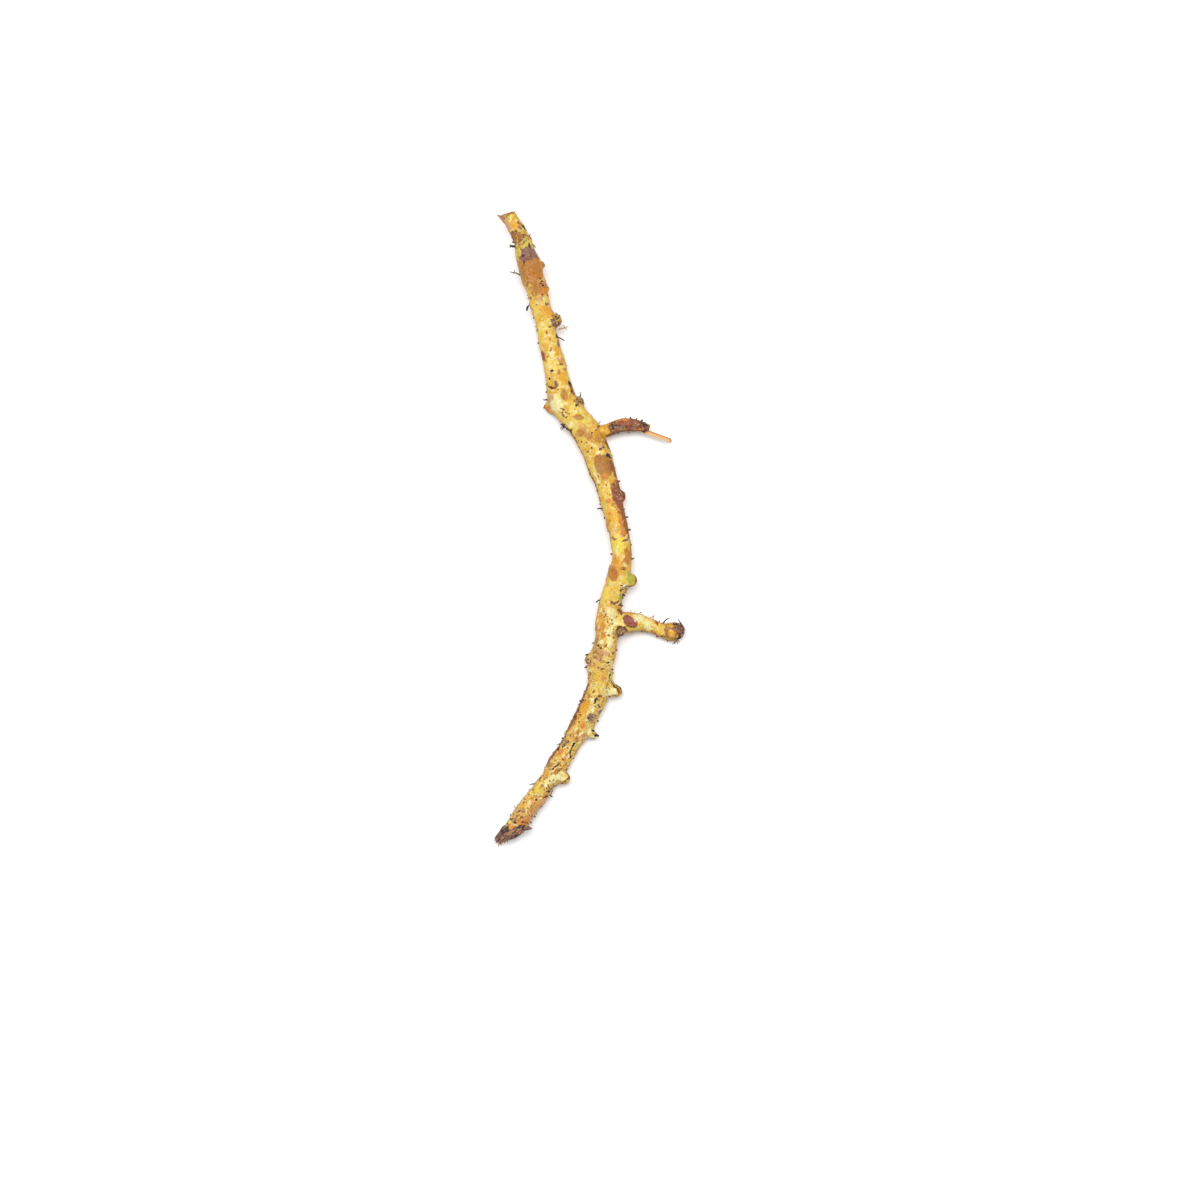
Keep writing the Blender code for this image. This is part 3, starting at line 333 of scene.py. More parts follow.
        (515.4, 822.4, 1.6, 1.4, 0, 0.9), (522.7, 822.1, 1.1, 1), (643, 421, 4, 1.6, -20, 0.6),
        (583.5, 694.8, 1.6, 1.4, 60, 0.9), (587.6, 679, 1.6, 1.1, 60, 0.9),
        (586.8, 688.2, 1.6, 1.2, 60, 0.9), (580.4, 701.9, 1.6, 1.3, 60, 0.9),
        (577.6, 710.6, 1.6, 1.2, 60, 0.9), (574.6, 717, 1.8, 1.2, 60, 0.9),
    ],
    "black": [
        (524.3, 229.5, 1.2, 0.9, -40), (543, 286.6, 1.1), (551.9, 371.3, 1.5, 1, 30),
        (551, 387.8, 1.8, 0.7, -15), (571.4, 391.4, 0.9), (569.2, 383.3, 1.5, 0.9, -40),
        (544.2, 400.2, 1.2, 1), (563, 426.3, 3, 2.2, -40), (608.3, 455.8, 2.6, 1.5, -25),
        (608.1, 662.7, 1.5, 1.2, 20), (585.8, 656.2, 1.6, 1.2), (584.9, 667.9, 1.4, 1.2),
        (618.7, 638.8, 1.2, 0.8), (678, 638.4, 2, 1, 20, 0.9), (597, 735.3, 2.4, 1.6, 20),
        (557.9, 749.6, 1.4, 1.1), (548.8, 791.4, 1.4, 1.3), (511.1, 818.8, 1.3, 1.1),
        (610.2, 427.5, 1.4, 1.6, 90, 0.8), (645.4, 423.6, 3.6, 2.6), (561.5, 330, 1.2, 1.2, 0, 0.7),
        (644.4, 426.4, 2.4, 1, -20, 0.8), (641, 419.8, 2, 0.9, -20, 0.8), (675.6, 624, 1.6, 0.8, 0, 0.8),
    ],
    # The chalk-white spots are mostly painted highlights and glints; a few are pale flecks of the skin.
    "white_fleck_and_glint": [
        (555.2, 313.6, 0.9), (601.6, 440.2, 0.8), (624.3, 586.5, 1.9, 1.6, 0, 0.9), (627.5, 588, 1.2, 0.8),
        (634.9, 620.8, 1.9, 0.7, -50, 0.9), (633.8, 618.8, 0.8, 0.6), (623.3, 631.3, 1.6, 1.1, 40, 0.9),
        (551.2, 758.6, 1, 0.8, 0, 0.6), (552.5, 788.5, 1.6, 1.1, 0, 0.6), (614, 495, 0.6, 0.5, 0, 0.8),
        (617, 497, 0.6, 0.5, 0, 0.8), (616, 491, 0.7, 0.5, 0, 0.8), (619, 500, 0.6, 0.5, 0, 0.8),
        (622, 503, 0.6, 0.5, 0, 0.8), (615.3, 427.8, 0.8, 0.6, 0, 0.6), (618, 430, 0.9, 0.6, 0, 0.5),
        (626, 424.6, 1.1, 0.7, 30, 0.4), (613, 430.8, 1.2, 0.7, 10, 0.5), (681.8, 635, 1.6, 0.7, 40, 0.55),
        (662.5, 633.6, 1, 0.7, 0, 0.8), (670.9, 630, 0.8, 0.8, 0, 0.6), (671.4, 635.4, 1, 0.8, 0, 0.7),
    ],
}
STREAKS = {
    # The cream lines along the orange band's ridges are painted highlights.
    "cream_and_highlight": [
        (1.3, 0.8, (616.6, 548), (617.5, 560)), (0.7, 0.8, (545, 798), (538.6, 806), (533, 813.5)),
        (0.6, 0.8, (530, 806), (526, 811), (524.6, 817)), (0.6, 0.7, (541, 797.6), (536, 801.4)),
    ],
    "ochre": [
        (2, 0.6, (606.8, 525.5), (609.8, 540)), (0.6, 0.8, (571.5, 414), (573, 411), (575.5, 410)),
        (1, 0.9, (557, 312), (562, 319), (561.5, 325)),
    ],
    "orange": [
        (1.2, 0.9, (612, 488.5), (612.8, 493), (614.2, 499), (617.5, 505.5), (621, 509)),
        (4.2, 0.9, (620.5, 509.5), (623.3, 521), (625, 533)),
        (3, 0.42, (599.3, 607), (598.2, 619.6), (597.6, 628), (598, 638)),
        (3.2, 0.6, (548, 796), (541, 804), (534, 811), (530.5, 820)),
        (1.3, 0.7, (636, 631), (645, 632), (654, 633.5), (662, 637)),
        (0.9, 0.8, (579, 741.5), (586, 740), (592.5, 739.6)),
        (2.2, 0.62, (538, 799), (533.4, 805), (528, 813), (525, 818)),
        (1.6, 0.95, (608, 423.8), (614, 421.4), (620, 419.8), (627, 419.8)),
        (0.7, 0.7, (628, 424), (636, 423.5)), (1, 0.7, (634, 430.2), (639, 429.4), (643, 430.8)),
        (0.7, 0.8, (647.5, 424.4), (650, 425.8)), (1, 0.8, (655, 623.2), (660, 622.4), (664.6, 624.2)),
        (0.8, 0.7, (666.4, 637), (671.3, 640.4), (677, 641)),
    ],
    "pink": [
        (0.6, 0.9, (529.5, 278.5), (534, 280.5), (538.5, 283.5)),
        (2.6, 0.5, (549, 796), (542.4, 804), (535.2, 812), (531, 820.6)),
    ],
    "brown": [
        (0.7, 0.9, (501.8, 216), (513.4, 213.6)), (0.5, 0.8, (531, 279.5), (536, 283.5)),
        (1, 1, (540.8, 259.7), (545, 264.5), (545, 268)),
        (0.9, 0.9, (531.5, 235), (533, 240), (534, 246), (534.5, 249)),
        (0.9, 0.9, (547, 281), (550, 285), (550.5, 289)),
        (1.1, 1, (548.8, 387.4), (551, 388.2), (554, 389.4), (556.6, 387.6), (557, 384), (555.5, 382)),
        (1.6, 0.9, (569.5, 383), (571.6, 390), (574, 394.8)),
        (0.8, 0.9, (544.3, 404), (545, 408), (549, 413), (553, 416)),
        (0.8, 0.9, (570.8, 432), (576.3, 442), (578.9, 450)),
        (1.5, 0.9, (608.8, 436), (606.6, 442), (608.5, 448)),
        (2.6, 0.75, (611, 462), (616, 474), (620, 486)), (0.6, 0.8, (598.2, 476.5), (599.6, 480)),
        (0.9, 0.9, (572.5, 435.5), (580.8, 452.4), (587.2, 465.7), (592.2, 478.9), (597.2, 491.4),
         (600.4, 504.6), (604, 520), (607, 532), (609.8, 545), (611.3, 560)),
        (2.4, 0.8, (622, 508), (625, 520), (627.6, 532)),
        (1.5, 0.95, (634.8, 572.5), (636.6, 577), (636.6, 582), (634.4, 586.5)),
        (1, 0.9, (611, 602.2), (613.9, 604.3), (618.1, 601.6)), (1.2, 0.9, (618.5, 609.5), (621.4, 614.5)),
        (0.8, 0.3, (599.8, 604), (596.6, 616), (595.5, 628), (594.8, 639)),
        (0.8, 0.8, (607.5, 684.5), (610, 689.3)),
        (1.6, 0.8, (588, 684), (582.5, 699), (576.3, 714), (569.5, 727)),
        (1.3, 0.8, (569, 728), (562, 741), (556, 751), (547.5, 763)),
        (0.6, 0.9, (666, 626.6), (665.4, 632), (668, 637.2), (671.4, 640.6)),
        (0.5, 0.8, (668.4, 626), (667.6, 631), (669.6, 636)),
        (0.5, 0.7, (673, 625.6), (676.4, 630), (676.4, 636)),
        (0.6, 0.8, (681, 624.6), (683.6, 629), (684.4, 632)),
        (0.9, 0.7, (606.4, 436.4), (607.6, 440), (608.8, 446)),
        (0.7, 0.8, (624, 622.4), (628, 626.4), (633.6, 627.4)),
        (0.7, 0.9, (555.5, 773.9), (557.5, 771.5), (559.5, 770.3)),
        (1.3, 0.95, (567, 771), (569.6, 773.8), (569.6, 776.5), (567, 780), (562, 783.3), (558, 785)),
    ],
    "purple": [
        (1.6, 0.85, (624.6, 509), (627.6, 523), (629.9, 534)),
        (0.8, 0.9, (612.2, 538.4), (614, 539.8), (616, 539.6)),
        (1.1, 0.95, (622.5, 541.6), (626.5, 540.8), (628.3, 538), (628, 535)),
    ],
    "umber": [
        (0.6, 0.8, (543, 260.5), (546, 264.5), (546, 268)), (0.8, 0.9, (549, 387.5), (553.5, 388.8)),
        (1, 0.9, (566, 427.5), (570.8, 431.5)), (1.1, 0.85, (630.4, 540.5), (631.6, 552), (631.8, 560)),
        (0.6, 0.7, (636, 574), (637.4, 580), (635.5, 586)),
        (1, 0.8, (622.6, 598), (621.3, 604), (622, 610)),
        (0.5, 0.9, (624, 623), (628, 626.5), (633, 628), (637.5, 626.5)),
        (0.9, 0.9, (616.5, 630), (619, 627), (624, 626.5), (627, 629.5)),
        (0.5, 0.9, (660.5, 637), (662.5, 635.6), (664.8, 637), (662.5, 638.6), (660.5, 637)),
        (1.2, 0.9, (616.8, 685.2), (620.5, 686.5), (622.6, 691), (621.2, 696.5), (617, 699)),
        (0.7, 0.95, (598, 704.8), (600.3, 708.2)), (0.6, 0.8, (589, 738.5), (594, 738.8)),
        (0.9, 1, (559, 763.3), (552.2, 768.8)), (0.5, 0.8, (569.8, 773), (570.2, 776.5), (567.6, 780.5)),
        (0.7, 0.9, (548, 784.8), (549.5, 787), (551, 790.5)), (0.7, 0.8, (542.5, 798), (547, 796)),
    ],
    "ridge": [
        (0.55, 0.8, (519.3, 233.8), (523, 233.4), (527.8, 234.3), (530.2, 236.6)),
        (0.5, 0.7, (516.8, 238.6), (518.8, 236.4), (521.8, 235.2), (526, 236)),
        (0.7, 0.8, (518, 239), (517.2, 244.6), (518.4, 249.4)),
        (0.5, 0.8, (521.8, 239.4), (525, 240), (526.4, 238.6), (529.6, 237.8)),
        (0.7, 0.9, (525.2, 240.8), (528, 242.6), (530.2, 244.6)),
        (0.5, 0.8, (520, 246.6), (522.8, 243.6), (524.6, 241.8)),
        (1.5, 1, (515.7, 253.7), (521.5, 250.6), (525.2, 247), (530, 244)),
        (0.6, 0.8, (531.4, 245), (533.4, 248.4)), (0.6, 0.8, (578, 398), (581, 401), (583, 404)),
        (0.5, 0.8, (579.5, 396.5), (582, 397.5)), (0.8, 0.7, (606.6, 675), (609.6, 680.4), (613, 684.8)),
    ],
    "black": [
        (1.2, 1, (584.8, 399.5), (585.4, 402), (584, 407)),
        (0.6, 1, (609.2, 676.6), (611.3, 682.4), (614.6, 686.5), (617.5, 688.6)),
        (1, 1, (598.3, 696.8), (594.2, 702.9)), (0.9, 1, (574.4, 743.5), (571.9, 748.7)),
        (0.6, 1, (571.9, 748.7), (570.3, 752.9), (571.1, 757.8)),
    ],
}

# Lumps of dry crust, told like the patches.

CRUSTS = [
    (557, 320, 7, 5.5, -60), (580.5, 400.4, 5.6, 5.4), (621.4, 631.2, 5, 4, 40, 0.8),
    (586, 661.5, 6.5, 2.4, 90, 0.8), (619.8, 496, 7.5, 5, -75, 0.55), (519, 240, 9, 7, -72, 0.35),
    (563, 426.3, 3.5, 2.5, -40, 0.9), (625, 589, 4, 3, 0, 0.8), (591, 717.2, 4, 3, 60, 0.5),
    (516, 818, 6, 6, 50, 0.2), (565, 743, 4, 4, 60, 0.5), (612, 427, 3, 4, 0, 0.5),
    (640, 426, 9, 4, 0, 0.35), (549, 789, 3.5, 3.5, 0, 0.5), (545, 265, 2, 4, 0, 0.8),
    (523, 811, 12, 9, 50, 0.25), (526.5, 257, 6, 5, 0, 0.2),
]

# How speckled the skin is on its way down the stem: minus y in millimetres, share.

WEATHERED = [(-97, 0.5), (-86, 0.8), (-74, 0.7), (-66, 0.4), (-58, 0.3), (-20, 0.4), (0, 0.3),
             (18, 0.3), (24, 0.85), (60, 1.0), (95, 1.0)]

# Marks by rule: how many, their layer, and the ranges of their sizes (mm) and strengths.

FINE_SPECKS = [
    (120, "cream_and_highlight", (0.30, 0.70), (0.4, 0.9)), (50, "ochre", (0.30, 0.80), (0.4, 0.8)),
    (130, "brown", (0.16, 0.36), (0.5, 0.9)), (50, "umber", (0.13, 0.24), (0.6, 0.9)),
]
HIDDEN_MARKS = [
    (46, "ochre", (1.2, 3.2), (0.5, 1.0)), (30, "orange", (0.8, 2.4), (0.4, 0.9)),
    (40, "brown", (0.6, 2.2), (0.5, 1.0)), (26, "purple", (0.6, 1.8), (0.5, 0.9)),
    (26, "cream_and_highlight", (0.8, 2.2), (0.4, 0.8)), (150, "brown", (0.2, 0.5), (0.7, 1.0)),
    (110, "umber", (0.18, 0.42), (0.8, 1.0)), (14, "green", (1.5, 3.0), (0.3, 0.6)),
]

# The colours of the marks, from the lowest layer to the top one.

LAYERS = ["lemon", "gold", "cream_and_highlight", "ochre", "scar", "orange", "pink", "green", "brown", "purple",
          "rust", "bark", "umber", "ridge", "black", "white_fleck_and_glint"]
TONES = {
    "pale_yellow": "F8DA5E", "deep_yellow": "EBB232", "lemon": "F5D94A", "gold": "EDAD26",
    "cream_and_highlight": "FCF0AC", "ochre": "C07E34", "scar": "B8792A", "orange": "E08C32",
    "pink": "DFA67C", "green": "B9B53E", "brown": "9C5F34", "purple": "93695A",
    "rust": "9E5540", "bark": "7A5647", "umber": "56352A", "ridge": "DDC650", "black": "231A17",
    "white_fleck_and_glint": "F8ECDD",
}


def colour(tone):
    """Linear red, green, blue and alpha of a tone, as it looks under the bright studio light."""
    digits = TONES.get(tone, tone)
    shares = [int(digits[i:i + 2], 16) / 255 for i in (0, 2, 4)]
    linear = [s / 12.92 if s <= 0.04045 else ((s + 0.055) / 1.055) ** 2.4 for s in shares]
    return (*[share / EXPOSURE for share in linear], 1.0)


def on_part(px, py):
    """Millimetres of the part under a pixel of the photograph."""
    return (px - PHOTO_MIDDLE[0]) * PIXEL, (PHOTO_MIDDLE[1] - py) * PIXEL


def eased(low, high, value):
    share = np.clip((value - low) / (high - low), 0.0, 1.0)
    return share * share * (3 - 2 * share)


# Strands


class Strand:
    """A smooth run of stations with the directions along it, to its right and up from it."""

    def __init__(self, stations):
        self.run = smooth_run(stations)
        middle = self.run[:, :3]
        self.along = np.gradient(middle, axis=0)
        self.along /= np.linalg.norm(self.along, axis=1)[:, None]
        self.right = np.cross((0.0, 0.0, 1.0), self.along)
        self.right /= np.linalg.norm(self.right, axis=1)[:, None]
        self.up = np.cross(self.along, self.right)
        gaps = np.linalg.norm(np.diff(middle, axis=0), axis=1)
        self.distance = np.concatenate([[0.0], np.cumsum(gaps)])

    def outward(self, station, degrees):
        turn = math.radians(degrees)
        return self.right[station] * math.sin(turn) + self.up[station] * math.cos(turn)

    def under(self, x, y):
        return int(np.argmin(np.hypot(self.run[:, 0] - x, self.run[:, 1] - y)))

    def at_share(self, share):
        return int(np.searchsorted(self.distance, share * self.distance[-1]))


def smooth_run(stations):
    """Stations of a smooth curve through the given ones (Catmull-Rom), a short step apart."""
    knots = np.array(stations, float)
    knots = np.vstack([2 * knots[0] - knots[1], knots, 2 * knots[-1] - knots[-2]])
    run = []
    for i in range(1, len(knots) - 2):
        before, start, end, after = knots[i - 1:i + 3]
        count = max(2, math.ceil(np.linalg.norm(end[:3] - start[:3]) / STEP_ALONG))
        for u in np.arange(count) / count:
            run.append(0.5 * (2 * start + (end - before) * u
                              + (2 * before - 5 * start + 4 * end - after) * u ** 2
                              + (3 * start - before - 3 * end + after) * u ** 3))
    run.append(knots[-2])
    return np.array(run)


stem = Strand(STEM)
upper = Strand(UPPER_BRANCH)
lower = Strand(LOWER_BRANCH)
every_strand = [stem, upper, lower]


# The grown body


def put(name, data):
    """A new object in the scene."""
    placed = bpy.data.objects.new(name, data)
    bpy.context.scene.collection.objects.link(placed)
    return placed


def freeze(piece):
    """Make an object's modifiers part of its mesh."""
    depsgraph = bpy.context.evaluated_depsgraph_get()
    mesh = bpy.data.meshes.new_from_object(piece.evaluated_get(depsgraph))
    old = piece.data
    piece.modifiers.clear()
    piece.data = mesh
    bpy.data.meshes.remove(old)


def tube(name, run):
    """A closed mesh tube along stations of x, y, height, radius."""
    curve = bpy.data.curves.new(name, "CURVE")
    curve.dimensions = "3D"
    curve.bevel_depth = MM
    curve.bevel_resolution = 10
    curve.use_fill_caps = True
    spline = curve.splines.new("POLY")
    spline.points.add(len(run) - 1)
    for point, (x, y, height, radius) in zip(spline.points, run):
        point.co = (x * MM, y * MM, height * MM, 1.0)
        point.radius = radius
    line = put(name, curve)
    depsgraph = bpy.context.evaluated_depsgraph_get()
    mesh = bpy.data.meshes.new_from_object(line.evaluated_get(depsgraph))
    bpy.data.objects.remove(line, do_unlink=True)
    shape = bmesh.new()
    shape.from_mesh(mesh)
    bmesh.ops.remove_doubles(shape, verts=shape.verts, dist=0.00001)
    bmesh.ops.recalc_face_normals(shape, faces=shape.faces)
    shape.to_mesh(mesh)
    shape.free()
    return mesh


def knob(name, foot, tip, foot_radius, tip_radius):
    """A stub with a rounded end, from inside a strand out to its tip."""
    foot = np.array(foot)
    tip = np.array(tip)
    outward = (tip - foot) / np.linalg.norm(tip - foot)
    run = [(*foot, foot_radius),
           (*(0.6 * foot + 0.4 * tip), 0.55 * foot_radius + 0.45 * tip_radius),
           (*tip, tip_radius)]
    for degrees in (25, 50, 72, 88):
        turn = math.radians(degrees)
        run.append((*(tip + outward * tip_radius * math.sin(turn)), tip_radius * math.cos(turn)))
    return tube(name, run)


def torn_off(mesh):
    """The stem's tube without what lies beyond its torn end."""
    shape = bmesh.new()
    shape.from_mesh(mesh)
    geometry = list(shape.verts) + list(shape.edges) + list(shape.faces)
    made = bmesh.ops.bisect_plane(shape, geom=geometry, plane_co=Vector(TORN_FACE) * MM,
                                  plane_no=TORN_FACE_LOOKS, clear_outer=True)
    rim = [part for part in made["geom_cut"] if isinstance(part, bmesh.types.BMEdge)]
    bmesh.ops.holes_fill(shape, edges=rim)
    shape.to_mesh(mesh)
    shape.free()
    return mesh


def grown_body():
    """Strands and knobs fused by a fine remesh, soft where they meet and crisp at the torn end."""
    pieces = [torn_off(tube("stem", stem.run)), tube("upper", upper.run), tube("lower", lower.run)]
    pieces += [knob(name, *form[:4]) for name, form in KNOBS.items()]
    shape = bmesh.new()
    for mesh in pieces:
        shape.from_mesh(mesh)
        bpy.data.meshes.remove(mesh)
    joined = bpy.data.meshes.new("root_skin")
    shape.to_mesh(joined)
    shape.free()
    body = put("root_skin", joined)
    remesh = body.modifiers.new("grown_together", "REMESH")
    remesh.mode = "VOXEL"
    remesh.voxel_size = SKIN_VOXEL * MM
    freeze(body)
    keep_crisp = body.vertex_groups.new(name="soft")
    face = np.array(TORN_FACE)
    looks = np.array(TORN_FACE_LOOKS) / np.linalg.norm(TORN_FACE_LOOKS)
    for vertex in body.data.vertices:
        away = abs(float(np.dot(np.array(vertex.co) / MM - face, looks)))
        keep_crisp.add([vertex.index], 0.15 if away < 0.8 else 1.0, "REPLACE")
    soften = body.modifiers.new("soften", "SMOOTH")
    soften.factor = 0.5
    soften.iterations = SKIN_SMOOTHING
    soften.vertex_group = "soft"
    freeze(body)
    body.vertex_groups.clear()
    return body


def read_skin(mesh):
    """Points in millimetres and normals of a mesh's vertices."""
    count = len(mesh.vertices)
    points = np.empty(count * 3)
    normals = np.empty(count * 3)
    mesh.vertices.foreach_get("co", points)
    mesh.vertex_normals.foreach_get("vector", normals)
    return points.reshape(-1, 3) / MM, normals.reshape(-1, 3)


def nearest_station(points, run):
    nearest = np.empty(len(points), int)
    outside = np.empty(len(points))
    for start in range(0, len(points), 4000):
        block = slice(start, start + 4000)
        gap = np.linalg.norm(points[block, None, :] - run[None, :, :3], axis=2) - run[None, :, 3]
        nearest[block] = np.argmin(gap, axis=1)
        outside[block] = np.min(gap, axis=1)
    return nearest, outside


def cloud(points, size, shift=0.0, octaves=1):
    """Smooth noise between about -1 and 1, with swellings of the given size."""
    shift = Vector((shift, -shift, 0.37 * shift))
    if octaves == 1:
        return np.array([noise.noise(Vector(p) + shift) for p in points / size])
    return np.array([noise.fractal(Vector(p) + shift, 0.8, 2.1, octaves) for p in points / size])


class Skin:
    """Where each point of the skin lies on its strand: how far along and how far round."""

    def __init__(self, points, normals):
        self.points = points
        self.normals = normals
        found = [nearest_station(points, strand.run) for strand in every_strand]
        self.outside = np.min([outside for nearest, outside in found], axis=0)
        self.owner = np.argmin([outside for nearest, outside in found], axis=0)
        count = len(points)
        self.travelled = np.empty(count)
        self.turn = np.empty(count)
        self.radius = np.empty(count)
        for index, strand in enumerate(every_strand):
            mine = self.owner == index
            nearest = found[index][0][mine]
            offset = points[mine] - strand.run[nearest, :3]
            forward = np.einsum("ij,ij->i", offset, strand.along[nearest])
            aside = np.einsum("ij,ij->i", offset, strand.right[nearest])
            above = np.einsum("ij,ij->i", offset, strand.up[nearest])
            self.travelled[mine] = strand.distance[nearest] + forward
            self.turn[mine] = np.arctan2(aside, above)
            self.radius[mine] = strand.run[nearest, 3]
        self.grain = np.column_stack([self.travelled + 500 * self.owner,
                                      3.3 * np.cos(self.turn), 3.3 * np.sin(self.turn)])
        self.seen = eased(-0.30, 0.12, normals[:, 2] + 0.30 * cloud(points, 1.1, 51.0))
        lean = np.arccos(np.clip(normals[:, 2], -1.0, 1.0))
        overhang = FLANK_RADIUS * np.clip(lean - math.radians(FLANK_STARTS), 0.0, None)
        aside = normals[:, :2] / np.maximum(np.linalg.norm(normals[:, :2], axis=1), 0.01)[:, None]
        self.unrolled = points[:, :2] + aside * overhang[:, None]


def scar_height(rim_distance):
    rim = SCAR_RIM * np.exp(-((rim_distance - 1.0) / SCAR_RIM_WIDTH) ** 2)
    dish = SCAR_DISH * np.clip(1.0 - rim_distance ** 2, 0.0, None)
    return rim - dish


def placed_scars(strand, scars):
    """Scars given by x and y, as station, turn from the top, length and width."""
    placed = []
    for x, y, length, width in scars:
        station = strand.under(x, y)
        aside = ((x - strand.run[station, 0]) * strand.right[station, 0]
                 + (y - strand.run[station, 1]) * strand.right[station, 1])
        lean = max(-0.95, min(0.95, aside / strand.run[station, 3]))
        placed.append((station, math.asin(lean), length, width))
    return placed


def from_scar(skin, strand, station, turn, length, width):
    """Distance of each skin point from a scar's middle, 1 at its rim."""
    sweep = (skin.turn - turn + math.pi) % (2 * math.pi) - math.pi
    return np.hypot((skin.travelled - strand.distance[station]) / (length / 2),
                    sweep * strand.run[station, 3] / (width / 2))


def flank_scars():
    return [(stem.at_share(share), math.radians(degrees), length, width)
            for share, degrees, length, width in FLANK_SCARS]


def solid_relief(skin):
    """The relief that the solid has too: scars, growth rings and slow lumps."""
    height = np.zeros(len(skin.points))
    for index, scars in ((0, placed_scars(stem, STEM_SCARS) + flank_scars()),
                         (2, placed_scars(lower, BRANCH_SCARS))):
        strand = every_strand[index]
        mine = skin.owner == index
        for scar in scars:
            height += np.where(mine, scar_height(from_scar(skin, strand, *scar)), 0.0)
    for share, depth in GROWTH_RINGS:
        away = (skin.travelled - share * stem.distance[-1]) / RING_WIDTH
        height -= np.where(skin.owner == 0, depth * np.exp(-away ** 2), 0.0)
    height *= np.exp(-(np.clip(skin.outside, 0.0, None) / SKIN_REACH) ** 2)
    return height + LUMP_HEIGHT * cloud(skin.points, LUMP_SIZE)


# Marks as values on the skin


def whole_patch(px, py, half_length, half_width=None, degrees=0, strength=1):
    """A patch in full, where its entry ends sooner."""
    return px, py, half_length, half_width or half_length, degrees, strength


def oval(x, y, patch, softness, uneven=0.0):
    """1 inside an oval seen from above, easing to 0 past its edge."""
    px, py, half_length, half_width, degrees = patch[:5]
    middle_x, middle_y = on_part(px, py)
    turn = math.radians(degrees)
    along = (x - middle_x) * math.cos(turn) + (y - middle_y) * math.sin(turn)
    across = (y - middle_y) * math.cos(turn) - (x - middle_x) * math.sin(turn)
    away = np.hypot(along / (half_length * PIXEL), across / (half_width * PIXEL)) + uneven
    return 1.0 - eased(1.0 - softness, 1.0 + softness, away)


def ribbon(x, y, half_width, corners, uneven):
    """1 on a line of corners seen from above, easing to 0 past its half width."""
    nearest = np.full(len(x), 1e9)
    points = [on_part(*corner) for corner in corners]
    for (ax, ay), (bx, by) in zip(points, points[1:]):
        length2 = (bx - ax) ** 2 + (by - ay) ** 2
        share = np.clip(((x - ax) * (bx - ax) + (y - ay) * (by - ay)) / length2, 0.0, 1.0)
        nearest = np.minimum(nearest, np.hypot(x - ax - share * (bx - ax), y - ay - share * (by - ay)))
    half = half_width * PIXEL * (1.0 + uneven)
    return 1.0 - eased(0.5 * half, 1.5 * half, nearest)


def add_layer(layers, kind, value):
    layers[kind] = np.maximum(layers[kind], value)


def seen_marks(skin, layers):
    """The listed marks, on the side that faces up."""
    wander_x = cloud(skin.points, 1.2, 3.0)
    wander_y = cloud(skin.points, 1.2, 9.0)
    uneven = cloud(skin.points, 0.8, 14.0)
    x, y = skin.unrolled.T
    for kind, patches in PATCHES.items():
        crisp = kind in ("scar", "rust")
        for patch in [whole_patch(*entry) for entry in patches]:
            size = min(1.0, patch[3] / BROAD_PATCH)
            wander = 0.25 if crisp else 0.75 * size
            softness = 0.26 if crisp else 0.30 + 0.22 * size
            ragged = 0.12 if crisp else 0.45
            value = oval(x + wander * wander_x, y + wander * wander_y, patch, softness, ragged * uneven)
            add_layer(layers, kind, value * skin.seen * patch[5])
    for kind, streaks in STREAKS.items():
        for half_width, strength, *corners in streaks:
            value = ribbon(x + 0.3 * wander_x, y + 0.3 * wander_y, half_width, corners, 1.2 * uneven)
            add_layer(layers, kind, value * skin.seen * strength)


def fine_specks(skin, layers):
    """Specks too small to list, by rule, on the upper side of the stem's weathered lower half."""
    draw = random.Random(11)
    on_stem = skin.owner == 0
    for count, kind, sizes, strengths in FINE_SPECKS:
        for each in range(count):
            place = stem.distance[-1] * draw.uniform(*SPECKLED)
            turn = math.radians(draw.uniform(-80, 80))
            size = draw.uniform(*sizes)
            ahead = (skin.travelled - place) / (size * draw.uniform(0.8, 1.7))
            away = np.hypot(ahead, (skin.turn - turn) * skin.radius / size)
            value = np.where(on_stem, 1.0 - eased(0.6, 1.3, away), 0.0)
            add_layer(layers, kind, value * skin.seen * draw.uniform(*strengths))


def hidden_marks(skin, layers):
    """Marks by rule where the photograph doesn't look: the underside and the low flanks."""
    draw = random.Random(5)
    hidden = 1.0 - skin.seen
    ragged = 0.9 * cloud(skin.points, 0.9, 27.0)
    on_stem = skin.owner == 0
    for station, turn, length, width in flank_scars():
        away = from_scar(skin, stem, station, turn, length, width)
        inside = np.where(on_stem, 1.0 - eased(0.8, 1.1, away + 0.3 * ragged), 0.0)
        add_layer(layers, "ochre", inside * (0.35 + 0.65 * hidden))
        add_layer(layers, "brown", inside * 0.6 * hidden)
    for count, kind, sizes, strengths in HIDDEN_MARKS:
        for each in range(count):
            share = draw.uniform(0.01, 0.97)
            turn = math.radians(180 + draw.uniform(-105, 105))
            size = draw.uniform(*sizes)
            stretch = draw.uniform(0.6, 1.9)
            strength = draw.uniform(*strengths)
            spot = (stem.at_share(share), turn, 2 * size * stretch, 2 * size)
            away = from_scar(skin, stem, *spot)
            near = on_stem & (away < 2.0)
            value = np.where(near, 1.0 - eased(0.7, 1.3, away + ragged), 0.0)
            add_layer(layers, kind, value * hidden * strength)


def past_collar(skin, ragged=0.0):
    """1 on the growing tip, past the jagged line where the yellow skin ends."""
    line = np.interp(skin.points[:, 0], *zip(*COLLAR_LINE))
    return eased(-0.35, 0.35, line - skin.points[:, 1] + ragged) * (skin.owner == 0)


